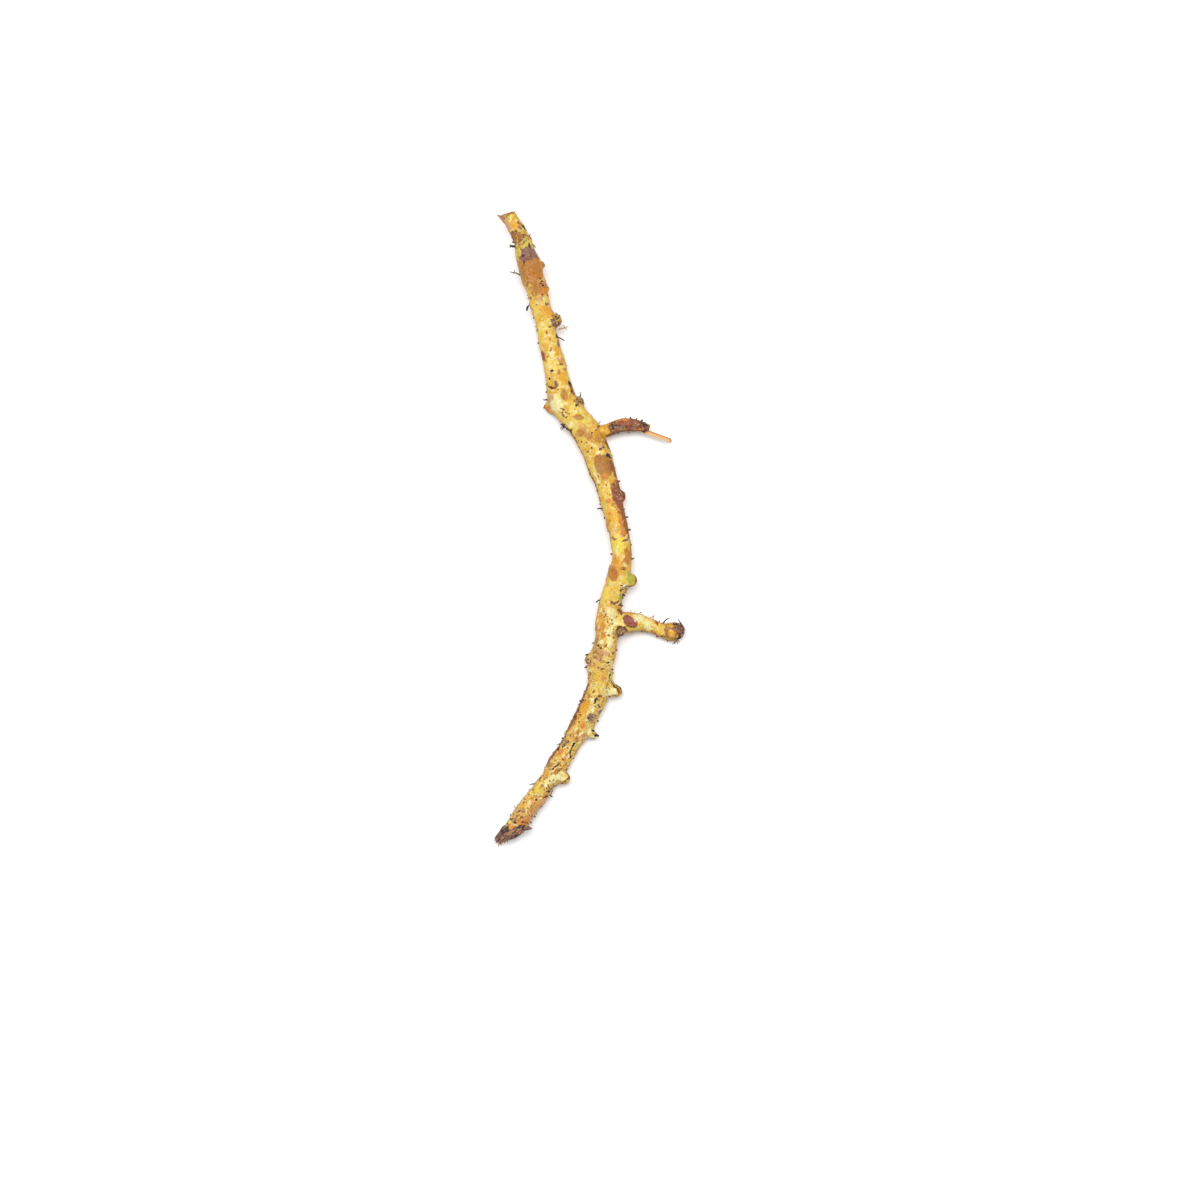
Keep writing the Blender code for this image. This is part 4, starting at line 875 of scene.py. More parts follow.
def bark_zones(skin, layers):
    """Stretches that are dark all the way round: the growing tip, the upper branch, the bud."""
    ragged = cloud(skin.points, 1.3, 21.0)
    x = skin.points[:, 0]
    on_stem = skin.owner == 0
    add_layer(layers, "bark", past_collar(skin, 0.5 * ragged))
    before_tip = eased(-80.0, -88.0, skin.points[:, 1] + 2 * ragged) * on_stem * (1 - skin.seen)
    add_layer(layers, "brown", 0.8 * before_tip)
    on_upper = skin.owner == 1
    hidden = 1.0 - skin.seen
    dark = eased(-0.35, 0.35, x - 5.3 + 0.9 * ragged) * on_upper
    bare = 1.0 - 0.85 * np.maximum(layers["orange"], layers["ochre"])
    patchy = cloud(skin.points, 1.6, 4.0)
    add_layer(layers, "brown", 0.85 * dark * bare)
    add_layer(layers, "rust", 0.75 * dark * bare * eased(-0.15, 0.25, patchy))
    add_layer(layers, "purple", 0.7 * dark * bare * eased(-0.05, 0.35, cloud(skin.points, 1.3, 8.0)))
    add_layer(layers, "umber", 0.7 * dark * bare * eased(0.22, 0.46, cloud(skin.points, 0.9, 28.0)))
    far_end = eased(16.2, 17.0, x + 0.8 * ragged) * on_upper
    add_layer(layers, "black", 0.9 * far_end * hidden)
    bud = eased(23.0, 24.6, x + 1.0 * ragged) * (skin.owner == 2) * hidden
    add_layer(layers, "brown", 0.6 * bud)
    add_layer(layers, "purple", 0.9 * bud * eased(25.0, 26.4, x + 0.8 * ragged))
    add_layer(layers, "umber", 0.7 * bud * eased(0.0, 0.4, cloud(skin.points, 1.0, 33.0)))
    torn = np.array(TORN_FACE_LOOKS) / np.linalg.norm(TORN_FACE_LOOKS)
    face = eased(0.80, 0.95, skin.normals @ torn) * (skin.points[:, 1] > 91.5)
    add_layer(layers, "torn", face)


def crust_value(skin):
    x, y = skin.unrolled.T
    value = np.zeros(len(x))
    for crust in [whole_patch(*entry) for entry in CRUSTS]:
        value = np.maximum(value, oval(x, y, crust, 0.35) * skin.seen * crust[5])
    branch = eased(4.6, 6.0, skin.points[:, 0]) * (skin.owner == 1)
    bud = eased(24.4, 26.0, skin.points[:, 0]) * (skin.owner == 2)
    return np.maximum.reduce([value, 0.45 * past_collar(skin), 0.40 * branch, 0.20 * bud])


def fine_relief(skin, layers, crust):
    """Relief too fine for the solid: wrinkles along the skin, warts, cracks and crust."""
    wrinkles = cloud(skin.grain * (0.35, 1.6, 1.6), 1.0, 2.0)
    dimples = cloud(skin.points, 1.5, 6.0)
    pebbles = cloud(skin.points, 0.75, 12.0)
    coarse = cloud(skin.points, 1.7, 15.0)
    rough = np.interp(-skin.points[:, 1], *zip(*WEATHERED))
    height = 0.045 * wrinkles + 0.06 * dimples + 0.02 * pebbles
    height += rough * (0.10 * cloud(skin.points, 1.05, 17.0) + 0.05 * pebbles)
    height += crust * (0.22 * pebbles + 0.20 * np.abs(coarse) - 0.02)
    specks = np.maximum(layers["umber"], 0.6 * layers["brown"])
    height += 0.06 * specks * (1 - crust)
    height -= 0.14 * layers["black"] * (1 - crust)
    height += 0.08 * layers["ridge"]
    height += layers["torn"] * (0.28 * cloud(skin.points, 0.7, 30.0) + 0.06)
    return height


def store(mesh, name, values):
    attribute = mesh.attributes.new(name, "FLOAT", "POINT")
    attribute.data.foreach_set("value", np.clip(values, 0.0, 1.0).astype(np.float32))


def store_vector(mesh, name, values):
    attribute = mesh.attributes.new(name, "FLOAT_VECTOR", "POINT")
    attribute.data.foreach_set("vector", values.astype(np.float32).ravel())


def move_skin(mesh, points):
    mesh.vertices.foreach_set("co", (points * MM).ravel())
    mesh.update()


def skin_piece():
    """The body with its relief, and its marks stored as values that the skin's look reads."""
    body = grown_body()
    points, normals = read_skin(body.data)
    skin = Skin(points, normals)
    move_skin(body.data, points + normals * solid_relief(skin)[:, None])

    points, normals = read_skin(body.data)
    skin = Skin(points, normals)
    layers = {kind: np.zeros(len(points)) for kind in LAYERS + ["torn"]}
    seen_marks(skin, layers)
    fine_specks(skin, layers)
    hidden_marks(skin, layers)
    bark_zones(skin, layers)
    crust = crust_value(skin)
    moved = points + normals * fine_relief(skin, layers, crust)[:, None]
    moved[:, 2] = np.maximum(moved[:, 2], 0.0)
    move_skin(body.data, moved)
    for kind, values in layers.items():
        store(body.data, kind, values)
    store(body.data, "crust", crust)
    # How far each point faces up; the skin's look paints shade on the flanks from it.
    facing = normals[:, 2] + 0.14 * cloud(points, 0.9, 40.0)
    store(body.data, "facing", 0.5 + 0.5 * facing)
    weathered = np.interp(-points[:, 1], *zip(*WEATHERED))
    store(body.data, "weathered", np.where(skin.owner == 2, 0.45, weathered))
    store_vector(body.data, "grain", skin.grain)
    body.data.shade_smooth()
    return body


# Small pieces gathered in one mesh


class Heap:
    """Many small closed forms in one mesh, each with its own tone from 0 to 1."""

    def __init__(self):
        self.points = []
        self.faces = []
        self.tones = []

    def add(self, points, faces, tones):
        first = len(self.points)
        self.points.extend(points)
        self.faces.extend([tuple(first + index for index in face) for face in faces])
        self.tones.extend(tones)

    def grow(self, path, widths, depths, flat_side, sides, tones):
        """Add a limb with one tone, or with one for each of its rings."""
        points, faces = limb(path, widths, depths, flat_side, sides)
        rings = tones if isinstance(tones, list) else [tones] * len(path)
        self.add(points, faces, [tone for tone in rings for side in range(sides)])

    def piece(self, name, material):
        mesh = bpy.data.meshes.new(name)
        mesh.from_pydata([Vector(point) * MM for point in self.points], [], self.faces)
        mesh.update()
        store(mesh, "tone", np.array(self.tones))
        mesh.materials.append(material)
        mesh.shade_smooth()
        return put(name, mesh)


def limb(path, widths, depths, flat_side, sides):
    """A closed tapering form along a path, oval in section: its points and faces."""
    path = [Vector(point) for point in path]
    across = None
    points = []
    for index, middle in enumerate(path):
        ahead = path[min(index + 1, len(path) - 1)]
        behind = path[max(index - 1, 0)]
        along = (ahead - behind).normalized()
        guide = Vector(flat_side) if across is None else across.cross(along)
        across = along.cross(guide)
        if across.length < 1e-4:
            across = along.orthogonal()
        across.normalize()
        thin = across.cross(along)
        for side in range(sides):
            turn = 2 * math.pi * side / sides
            points.append(middle + across * (math.cos(turn) * widths[index])
                          + thin * (math.sin(turn) * depths[index]))
    faces = []
    for ring in range(len(path) - 1):
        for side in range(sides):
            after = (side + 1) % sides
            faces.append((ring * sides + after, ring * sides + side,
                          (ring + 1) * sides + side, (ring + 1) * sides + after))
    faces.append(tuple(range(sides)))
    faces.append(tuple((len(path) - 1) * sides + side for side in reversed(range(sides))))
    return points, faces


def any_way(draw):
    return Vector([draw.gauss(0, 1) for axis in range(3)])


def wandering_path(draw, start, heading, length, bend, steps=7):
    """A path that starts along heading and wanders as it grows."""
    heading = Vector(heading).normalized()
    point = Vector(start)
    path = [point.copy()]
    drift = any_way(draw)
    for step in range(steps):
        drift += 0.6 * any_way(draw)
        heading = (heading + bend * drift / steps).normalized()
        point = point + heading * (length / steps)
        path.append(point.copy())
    return path


bvh = None


def skin_at(strand, station, degrees):
    """Point of the skin straight out from a strand's middle, and the way out."""
    middle = Vector(strand.run[station, :3]) * MM
    out = Vector(strand.outward(station, degrees))
    hit = bvh.ray_cast(middle, out, 0.02)[0]
    if hit is None:
        hit = middle + out * float(strand.run[station, 3]) * MM
    return hit / MM, out


def along_skin(strand, first, last, degrees, turn, lifts):
    """A path over a strand's skin between two stations, turning as it goes, lifted off by lifts."""
    path = []
    for index, lift in enumerate(lifts):
        share = index / (len(lifts) - 1)
        place = first + (last - first) * share
        before = min(int(place), len(strand.run) - 2)
        ends = [skin_at(strand, before + extra, degrees + turn * share) for extra in (0, 1)]
        point = ends[0][0].lerp(ends[1][0], place - before)
        path.append(point + ends[0][1] * lift)
    return path


def skin_below(x, y):
    """Highest point of the skin at x and y, and its normal, or None."""
    hit, normal, index, far = bvh.ray_cast(Vector((x, y, 40.0)) * MM, Vector((0, 0, -1)), 0.1)
    return (None, None) if hit is None else (hit / MM, normal)


def too_low(path, lowest=LOWEST):
    return min(point.z for point in path) < lowest


def fibre(heap, path, foot_radius, tip_radius, tone, sides=6):
    """A round thread along a path, thinner towards its end."""
    last = len(path) - 1
    radii = [foot_radius + (tip_radius - foot_radius) * (index / last) for index in range(last + 1)]
    heap.grow(path, radii, radii, (0.13, 0.21, 0.97), sides, tone)


# Rootlets seen against the ground: foot radius, tip radius (mm), then the pixels they run through.

SEEN_ROOTLETS = [
    (0.36, 0.30, (514.0, 247.8), (512.0, 247.5), (510.6, 247.3)),
    (0.10, 0.05, (511.8, 247.0), (510.2, 246.0), (508.8, 246.2)),
    (0.10, 0.05, (511.8, 248.0), (510.2, 248.6), (508.9, 248.9)),
    (0.24, 0.12, (521.8, 277.3), (519.2, 275.2), (516.4, 273.9), (513.0, 273.3), (509.8, 272.4)),
    (0.10, 0.05, (514.0, 273.5), (513.6, 274.6), (513.4, 275.2)),
    (0.20, 0.12, (530.2, 305.0), (528.4, 306.2), (527.4, 308.4), (526.9, 310.0)),
    (0.30, 0.24, (527.0, 309.6), (526.8, 310.3), (526.6, 310.9)),
    (0.22, 0.14, (559.0, 338.0), (561.5, 339.0), (564.3, 340.9)),
    (0.30, 0.10, (546.4, 399.8), (544.2, 400.0), (542.6, 399.6)),
    (0.22, 0.08, (580.3, 395.5), (580.5, 393.4), (580.4, 391.9)),
    (0.26, 0.08, (563.6, 426.6), (561.6, 427.2), (560.0, 429.2)),
    (0.24, 0.08, (562.8, 425.4), (561.2, 425.0), (560.2, 424.0)),
    (0.22, 0.07, (564.2, 427.4), (562.4, 429.0), (561.4, 430.4)),
    (0.28, 0.14, (609.4, 455.6), (611.0, 455.6), (612.2, 455.3)),
    (0.24, 0.14, (602.6, 509.4), (600.0, 508.4), (598.0, 508.8), (597.0, 509.4)),
    (0.28, 0.12, (631.2, 559.9), (632.8, 558.9), (634.2, 558.3)),
    (0.24, 0.16, (600.6, 600.2), (598.2, 600.6), (596.6, 602.0), (595.6, 602.4)),
    (0.18, 0.10, (599.4, 602.8), (598.4, 604.4)),
    (0.24, 0.10, (663.4, 623.6), (664.8, 621.2), (666.8, 619.2), (668.6, 618.6), (670.0, 618.4)),
    (0.24, 0.10, (681.8, 624.8), (680.4, 622.6), (679.2, 620.8), (678.2, 619.0)),
    (0.16, 0.06, (675.6, 640.4), (674.6, 642.8), (672.2, 644.6)),
    (0.14, 0.05, (677.4, 640.0), (678.8, 641.6), (679.6, 643.0)),
    (0.28, 0.12, (538.2, 785.2), (535.6, 784.2), (532.8, 784.2), (529.4, 785.0)),
    (0.24, 0.14, (541.6, 778.2), (539.6, 779.2), (538.4, 780.4)),
    (0.20, 0.10, (531.8, 244.6), (534.6, 247.2), (535.6, 249.0)),
    (0.14, 0.07, (639.0, 614.4), (640.2, 612.8), (640.9, 611.9)),
    (0.16, 0.08, (597.2, 426.0), (599.4, 422.6), (600.4, 421.4)),
]
ROOTLET_GIRTH = 1.1

# Tan shreds of skin that stand off the edges, told like the rootlets, with a tone in between.

SEEN_SHREDS = [
    (0.24, 0.12, 0.45, (561.6, 328.8), (564.4, 328.2), (566.4, 327.2), (568.4, 326.8)),
    (0.14, 0.08, 0.50, (565.0, 327.8), (566.0, 329.0), (566.6, 330.0)),
    (0.26, 0.16, 0.50, (659.4, 623.0), (659.7, 621.4), (660.0, 620.0)),
    (0.22, 0.14, 0.40, (653.0, 618.8), (653.3, 617.0), (654.0, 616.0)),
    (0.18, 0.10, 0.35, (652.6, 616.6), (654.2, 615.6), (655.4, 616.4)),
    (0.24, 0.12, 0.40, (638.6, 615.0), (639.8, 613.4), (641.6, 612.6)),
    (0.30, 0.14, 0.55, (674.0, 640.6), (676.8, 641.4), (679.4, 640.9)),
    (0.14, 0.07, 0.90, (676.2, 641.4), (675.0, 643.2), (672.2, 644.6)),
    (0.12, 0.07, 0.90, (676.8, 641.8), (677.6, 643.4), (678.0, 644.6)),
    (0.26, 0.16, 0.30, (624.4, 589.6), (625.8, 592.0), (626.6, 593.6)),
    (0.20, 0.12, 0.25, (630.0, 631.0), (633.6, 631.2), (637.0, 630.6)),
    (0.16, 0.10, 0.20, (631.0, 632.4), (634.6, 632.6), (636.0, 632.0)),
    (0.34, 0.20, 0.65, (627.9, 430.6), (628.2, 432.2), (629.0, 433.2)),
    (0.26, 0.14, 0.45, (647.8, 424.6), (649.4, 425.2), (650.4, 425.8)),
    (0.20, 0.12, 0.35, (567.2, 730.2), (565.8, 731.4), (564.6, 732.0)),
    (0.20, 0.10, 0.40, (515.0, 807.4), (514.0, 806.0), (513.6, 804.8)),
]

# Tufts of loose shreds: pixel x and y of the middle, how many, length (mm), spread (pixels).

LOOSE_SHREDS = [
    (627, 611.5, 22, 1.5, 3.2), (633, 612.5, 12, 1.1, 2.4), (625.5, 588.5, 20, 1.0, 1.8),
    (633.5, 632.5, 12, 1.2, 3.0), (617, 606, 10, 0.8, 1.6), (560, 315, 10, 0.8, 1.8),
    (513.8, 808, 10, 0.9, 1.4), (563, 738, 9, 0.8, 1.6),
]
TORN_FLAP = [(-25.4, 91.4, 11.4), (-26.3, 92.3, 11.3), (-27.0, 92.9, 11.1), (-27.7, 93.3, 10.9),
             (-28.1, 93.5, 10.8)]
PRONGS = [((0.3, -61.8, 4.1), (2.5, -62.3, 4.3), 0.62, 0.28),
          ((0.0, -60.9, 4.4), (1.2, -60.7, 4.7), 0.50, 0.22)]

# Short thick stumps of rootlets along the edges: pixel x and y of the foot, then of the tip.

EDGE_STUMPS = [
    (589.6, 678.6, 587.2, 678.2), (588.4, 683.2, 586.4, 683.6), (588.2, 687.4, 585.4, 688.6),
    (585.8, 692, 583.2, 691.8), (585, 694.8, 582.2, 695.4), (583.6, 698, 580.8, 698.8),
    (581.8, 701, 578.8, 702.2), (580.4, 704.6, 577.6, 705.2), (578.9, 709, 575.9, 710.4),
    (577.4, 712.4, 574.6, 712.6), (576.2, 716.4, 573.6, 716.8), (574.4, 720.4, 571.8, 721.6),
    (571.6, 724.6, 569.2, 725.2), (569.8, 729, 567, 729.4), (566.2, 734.4, 563.4, 735.6),
    (562.6, 739.4, 560.8, 739.2), (560.6, 744.4, 558.4, 745.2), (558.4, 749.4, 555.8, 750),
    (554.6, 753.4, 552.2, 754), (550, 761, 547.6, 761.4), (546, 768.6, 543.8, 769),
    (540.6, 779.2, 538.2, 779.6), (535.2, 787, 532.6, 787.6), (532, 791, 529.6, 791.2),
    (529.2, 794.4, 526.8, 794.6), (525.8, 797, 523.2, 797.2), (522.6, 801, 520.4, 801),
    (519, 805.4, 516.8, 805.2), (515.6, 810.6, 513.4, 810.4), (511.4, 816.2, 509.4, 816.4),
    (538.4, 343.6, 537.2, 343.8), (537, 330.6, 536, 330.8), (546.8, 384.6, 545.4, 385),
    (546.2, 391.4, 545, 391.4), (616.4, 649.4, 618.2, 650), (613, 653, 614.8, 653.6),
    (612, 669.6, 614, 670.2), (573, 759.4, 574.2, 760.2), (551, 796.2, 552.8, 797.4),
    (541, 806.2, 542.6, 807.6), (536.4, 813.2, 538, 814.6), (534.4, 816.4, 536.2, 817.4),
    (531, 822.6, 532.8, 823.4), (619.2, 481.4, 620.6, 481.2), (627.6, 517.4, 628.8, 517.4),
    (629.6, 530.4, 631.2, 530.4), (631, 544.6, 632.2, 544.8), (610.8, 554.8, 609.6, 555),
    (586.2, 655.2, 584.4, 655.6), (585.6, 667.6, 583.8, 668.2), (521, 262, 519.8, 262),
    (525.4, 286.8, 524.4, 287), (529, 299, 527.6, 299.2), (534.2, 318.4, 532.8, 318.6),
    (523.6, 229.6, 525.4, 230), (513.4, 243.2, 511.8, 243.4), (514.2, 239.6, 512.8, 239.4),
    (622.4, 606.2, 623.6, 606), (624, 595.4, 625.2, 596), (618.2, 421.4, 618.6, 419.6),
    (624.4, 418.4, 624.6, 416.8), (630.6, 418, 630.4, 416.4), (636, 419.2, 637.2, 417.8),
    (641.6, 420.6, 642.8, 419.2), (644, 423.2, 646.6, 422.4), (646, 426.6, 649.4, 425.8),
    (646, 429.4, 649.2, 430.4), (643, 431.4, 645.4, 433), (657, 636.2, 656.6, 637.8),
    (668.2, 640.4, 667.6, 642),
]


def level_at(x, y):
    """Height of the nearest strand's middle under x and y."""
    every = np.vstack([strand.run for strand in every_strand])
    nearest = int(np.argmin(np.hypot(every[:, 0] - x, every[:, 1] - y)))
    return float(every[nearest, 2])


def standing_off(draw, pixels):
    """A path level with its strand that starts inside it and runs through the pixels."""
    plan = [on_part(*pixel) for pixel in pixels]
    level = level_at(*plan[0])
    lift = draw.uniform(-0.3, 0.3)
    path = []
    for index, (x, y) in enumerate(plan):
        share = index / (len(plan) - 1)
        path.append(Vector((x, y, max(0.5, level + lift * share - 0.3 * share ** 2))))
    inward = (path[0] - path[1]).normalized()
    path.insert(0, path[0] + inward * 0.9)
    smooth = []
    for start, end in zip(path, path[1:]):
        smooth += [start.lerp(end, step / 3) for step in range(3)]
    smooth.append(path[-1])
    return smooth


def add_seen_rootlets(heap):
    draw = random.Random(3)
    for foot_radius, tip_radius, *pixels in SEEN_ROOTLETS:
        fibre(heap, standing_off(draw, pixels), foot_radius * ROOTLET_GIRTH,
              tip_radius * ROOTLET_GIRTH, draw.uniform(0.0, 0.35), 8)


def add_seen_shreds(heap):
    draw = random.Random(4)
    for foot_radius, tip_radius, tone, *pixels in SEEN_SHREDS:
        fibre(heap, standing_off(draw, pixels), foot_radius, tip_radius, tone, 7)


def add_edge_stumps(heap):
    draw = random.Random(8)
    for foot_x, foot_y, tip_x, tip_y in EDGE_STUMPS:
        start = Vector((*on_part(foot_x, foot_y), 0.0))
        end = Vector((*on_part(tip_x, tip_y), 0.0))
        level = level_at(start.x, start.y) - draw.uniform(-0.2, 0.7)
        start.z = end.z = max(0.6, level)
        heading = end - start
        length = heading.length * draw.uniform(0.6, 0.9)
        heading.z += draw.uniform(-0.3, 0.2)
        path = wandering_path(draw, start - heading.normalized() * 0.7, heading, length + 0.7, 0.3, 5)
        radius = draw.uniform(0.24, 0.38)
        fibre(heap, path, radius * 1.3, radius * 0.6, draw.uniform(0.0, 1.0), 7)


def add_prongs(heap):
    """The dark broken end of the pointed knob."""
    for start, end, foot_radius, tip_radius in PRONGS:
        path = [Vector(start).lerp(Vector(end), step / 4) for step in range(5)]
        fibre(heap, path, foot_radius, tip_radius, 0.0, 8)


def add_hidden_rootlets(heap):
    """Rootlets by rule on the underside and low on the flanks, thicker set towards the tip."""
    draw = random.Random(11)
    for each in range(HIDDEN_ROOTLETS):
        share = 0.03 + 0.93 * draw.random() ** 0.8
        station = stem.at_share(share)
        flank = draw.random() < 0.22
        long_one = not flank and draw.random() < 0.14
        reach = 98 if flank else 36 if long_one else 74
        degrees = 180 + draw.uniform(-reach, reach)
        skin_point, out = skin_at(stem, station, degrees)
        along = Vector(stem.along[station])
        if long_one:
            length = draw.uniform(1.8, 4.0)
            heading = out * 0.5 + along * draw.choice((-1.0, 1.0)) + Vector((0, 0, 0.1))
        else:
            length = draw.uniform(0.3, 0.55) if flank else draw.uniform(0.35, 1.1)
            heading = out + along * draw.uniform(-0.9, 0.9)
        path = wandering_path(draw, skin_point - out * 0.35, heading, length + 0.2, 0.8)
        if too_low(path) or skin_point.z < 0.3:
            continue
        radius = draw.uniform(0.12, 0.28)
        fibre(heap, path, radius * 1.3, radius * 0.5, draw.uniform(0.0, 0.8), 6)
    for strand, count, reach in ((upper, 26, 110), (lower, 30, 98)):
        for each in range(count):
            station = strand.at_share(draw.uniform(0.22, 0.97))
            degrees = 180 + draw.uniform(-reach, reach)
            skin_point, out = skin_at(strand, station, degrees)
            heading = out + Vector(strand.along[station]) * draw.uniform(-0.6, 0.9)
            path = wandering_path(draw, skin_point - out * 0.3, heading, draw.uniform(0.45, 0.9), 0.7)
            if too_low(path):
                continue
            radius = draw.uniform(0.10, 0.20)
            fibre(heap, path, radius * 1.2, radius * 0.5, draw.uniform(0.1, 0.9), 6)


# Shaders


def node_group(name, result, inputs):
    """A shader node group with one output and the named inputs, where a number is its default."""
    group = bpy.data.node_groups.new(name, "ShaderNodeTree")
    kinds = {"Vector": "NodeSocketVector", "Grain": "NodeSocketVector", "Color": "NodeSocketColor"}
    for label, default in inputs.items():
        kind = kinds.get(label, "NodeSocketFloat")
        socket = group.interface.new_socket(label, in_out="INPUT", socket_type=kind)
        if default is not None:
            socket.default_value = default
    kind = kinds.get(result, "NodeSocketFloat")
    group.interface.new_socket(result, in_out="OUTPUT", socket_type=kind)
    wire = Wiring(group)
    return group, wire, wire.node("NodeGroupInput").outputs


class Wiring:
    """Adds nodes to a node tree, with values or links given for their inputs."""

    def __init__(self, tree):
        self.tree = tree

    def node(self, kind, settings=None, **inputs):
        made = self.tree.nodes.new(kind)
        for key, value in (settings or {}).items():
            setattr(made, key, value)
        for key, value in inputs.items():
            self.feed(made.inputs[key.replace("_", " ")], value)
        return made

    def feed(self, socket, value):
        if isinstance(value, bpy.types.NodeSocket):
            self.tree.links.new(value, socket)
        else:
            socket.default_value = value

    def maths(self, operation, first, second, clamp=False):
        made = self.node("ShaderNodeMath", {"operation": operation, "use_clamp": clamp})
        self.feed(made.inputs[0], first)
        self.feed(made.inputs[1], second)
        return made.outputs[0]

    def times(self, first, second):
        return self.maths("MULTIPLY", first, second)

    def plus(self, first, second, clamp=False):
        return self.maths("ADD", first, second, clamp)

    def minus(self, first, second):
        return self.maths("SUBTRACT", first, second)

    def larger(self, first, second):
        return self.maths("MAXIMUM", first, second)

    def between(self, value, low, high):
        """0 below low, 1 above high, eased between them."""
        made = self.node("ShaderNodeMapRange", {"interpolation_type": "SMOOTHSTEP"})
        for index, number in enumerate((value, low, high, 0.0, 1.0)):
            self.feed(made.inputs[index], number)
        return made.outputs[0]

    def mix(self, share, first, second):
        made = self.node("ShaderNodeMix", {"data_type": "RGBA"})
        self.feed(made.inputs[0], share)
        self.feed(made.inputs[6], first)
        self.feed(made.inputs[7], second)
        return made.outputs[2]

    def value_of(self, name):
        return self.node("ShaderNodeAttribute", {"attribute_name": name}).outputs["Fac"]

    def noise(self, vector, scale, detail=3.0, roughness=0.55, shift=0.0):
        if shift:
            vector = self.moved(vector, (shift, -shift, 0.5 * shift))
        return self.node("ShaderNodeTexNoise", Vector=vector, Scale=scale, Detail=detail,
                         Roughness=roughness).outputs["Fac"]

    def moved(self, vector, by, operation="ADD"):
        made = self.node("ShaderNodeVectorMath", {"operation": operation})
        self.feed(made.inputs[0], vector)
        self.feed(made.inputs[1], by)
        return made.outputs[0]

    def scaled(self, vector, factors):
        return self.moved(vector, factors, "MULTIPLY")

    def group(self, tree, **inputs):
        """A group's node, and the one thing that it puts out."""
        return self.node("ShaderNodeGroup", {"node_tree": tree}, **inputs).outputs[0]


def build_ragged_edge():
    """Breaks a soft-edged mark up into a ragged one."""
    group, wire, given = node_group("ragged_edge", "Mask", {
        "Mask": 0.0, "Vector": None, "Scale": 2.0, "Raggedness": 0.4, "Softness": 0.2})
    cloudy = wire.noise(given["Vector"], given["Scale"], 4.0, 0.6)
    shifted = wire.times(wire.minus(cloudy, 0.5), given["Raggedness"])
    inside = wire.maths("GREATER_THAN", given["Mask"], 0.02)
    moved = wire.plus(given["Mask"], wire.times(shifted, inside))
    low = wire.minus(0.45, given["Softness"])
    high = wire.plus(0.45, given["Softness"])
    wire.node("NodeGroupOutput", Mask=wire.times(wire.between(moved, low, high),
                                                 wire.between(given["Mask"], 0.0, 0.75)))
    return group


def build_freckles():
    """Small round spots scattered over a surface."""
    group, wire, given = node_group("freckles", "Mask", {
        "Vector": None, "Scale": 1.0, "Size": 0.2, "Share": 0.4})
    bent = wire.node("ShaderNodeTexNoise", Vector=given["Vector"], Scale=2.2, Detail=2.0)
    push = wire.node("ShaderNodeVectorMath", {"operation": "SCALE"},
                     Vector=bent.outputs["Color"], Scale=0.35)
    moved = wire.moved(given["Vector"], push.outputs[0])
    cells = wire.node("ShaderNodeTexVoronoi", Vector=moved, Scale=given["Scale"])
    drawn = wire.node("ShaderNodeSeparateColor", Color=cells.outputs["Color"])
    chosen = wire.maths("LESS_THAN", drawn.outputs[0], given["Share"])
    size = wire.times(given["Size"], wire.plus(0.5, drawn.outputs[1]))
    spot = wire.between(cells.outputs["Distance"], size, wire.times(size, 0.5))
    wire.node("NodeGroupOutput", Mask=wire.times(spot, chosen))
    return group


def build_fibre_grain():
    """Fine threads that run along the strand."""
    group, wire, given = node_group("fibre_grain", "Value", {"Grain": None, "Fineness": 1.0})
    stretched = wire.scaled(given["Grain"], (0.22, 1.5, 1.5))
    wire.node("NodeGroupOutput", Value=wire.noise(stretched, given["Fineness"], 5.0, 0.62))
    return group


def build_varied_tone():
    """A tone that drifts a little lighter, darker and warmer over the surface."""
    group, wire, given = node_group("varied_tone", "Color", {
        "Color": None, "Vector": None, "Scale": 1.0, "Amount": 0.3})
    drift = wire.noise(given["Vector"], given["Scale"], 5.0, 0.65)
    centred = wire.times(wire.minus(drift, 0.5), given["Amount"])
    bright = wire.plus(1.0, wire.times(centred, 2.0))
    warm = wire.noise(given["Vector"], wire.times(given["Scale"], 0.6), 3.0)
    saturation = wire.plus(1.0, wire.times(wire.minus(warm, 0.5), given["Amount"]))
    shifted = wire.node("ShaderNodeHueSaturation", Color=given["Color"], Value=bright,
                        Saturation=saturation)
    wire.node("NodeGroupOutput", Color=shifted.outputs["Color"])
    return group


ragged_edge = build_ragged_edge()
freckles = build_freckles()
fibre_grain = build_fibre_grain()
varied_tone = build_varied_tone()


def new_material(name, roughness):
    material = bpy.data.materials.new(name)
    material.use_nodes = True
    shader = material.node_tree.nodes["Principled BSDF"]
    shader.inputs["Roughness"].default_value = roughness
    return material, Wiring(material.node_tree), shader


def millimetres(wire):
    place = wire.node("ShaderNodeTexCoord").outputs["Object"]
    return wire.scaled(place, (1000.0, 1000.0, 1000.0))


EDGES = {  # scale, raggedness and softness of each layer's edge
    "lemon": (0.9, 0.6, 0.40), "gold": (0.9, 0.6, 0.38), "cream_and_highlight": (1.3, 0.9, 0.38),
    "ochre": (1.3, 0.8, 0.38), "scar": (1.2, 0.35, 0.36), "orange": (1.3, 0.9, 0.38),
    "pink": (1.5, 0.9, 0.38), "green": (1.1, 0.7, 0.40), "brown": (2.0, 0.8, 0.30),
    "purple": (1.6, 0.8, 0.38), "rust": (1.4, 0.35, 0.20), "bark": (1.5, 0.5, 0.20),
    "umber": (2.4, 0.7, 0.26), "ridge": (2.0, 0.6, 0.30), "black": (2.6, 0.6, 0.22),
    "white_fleck_and_glint": (3.0, 0.7, 0.28),
}


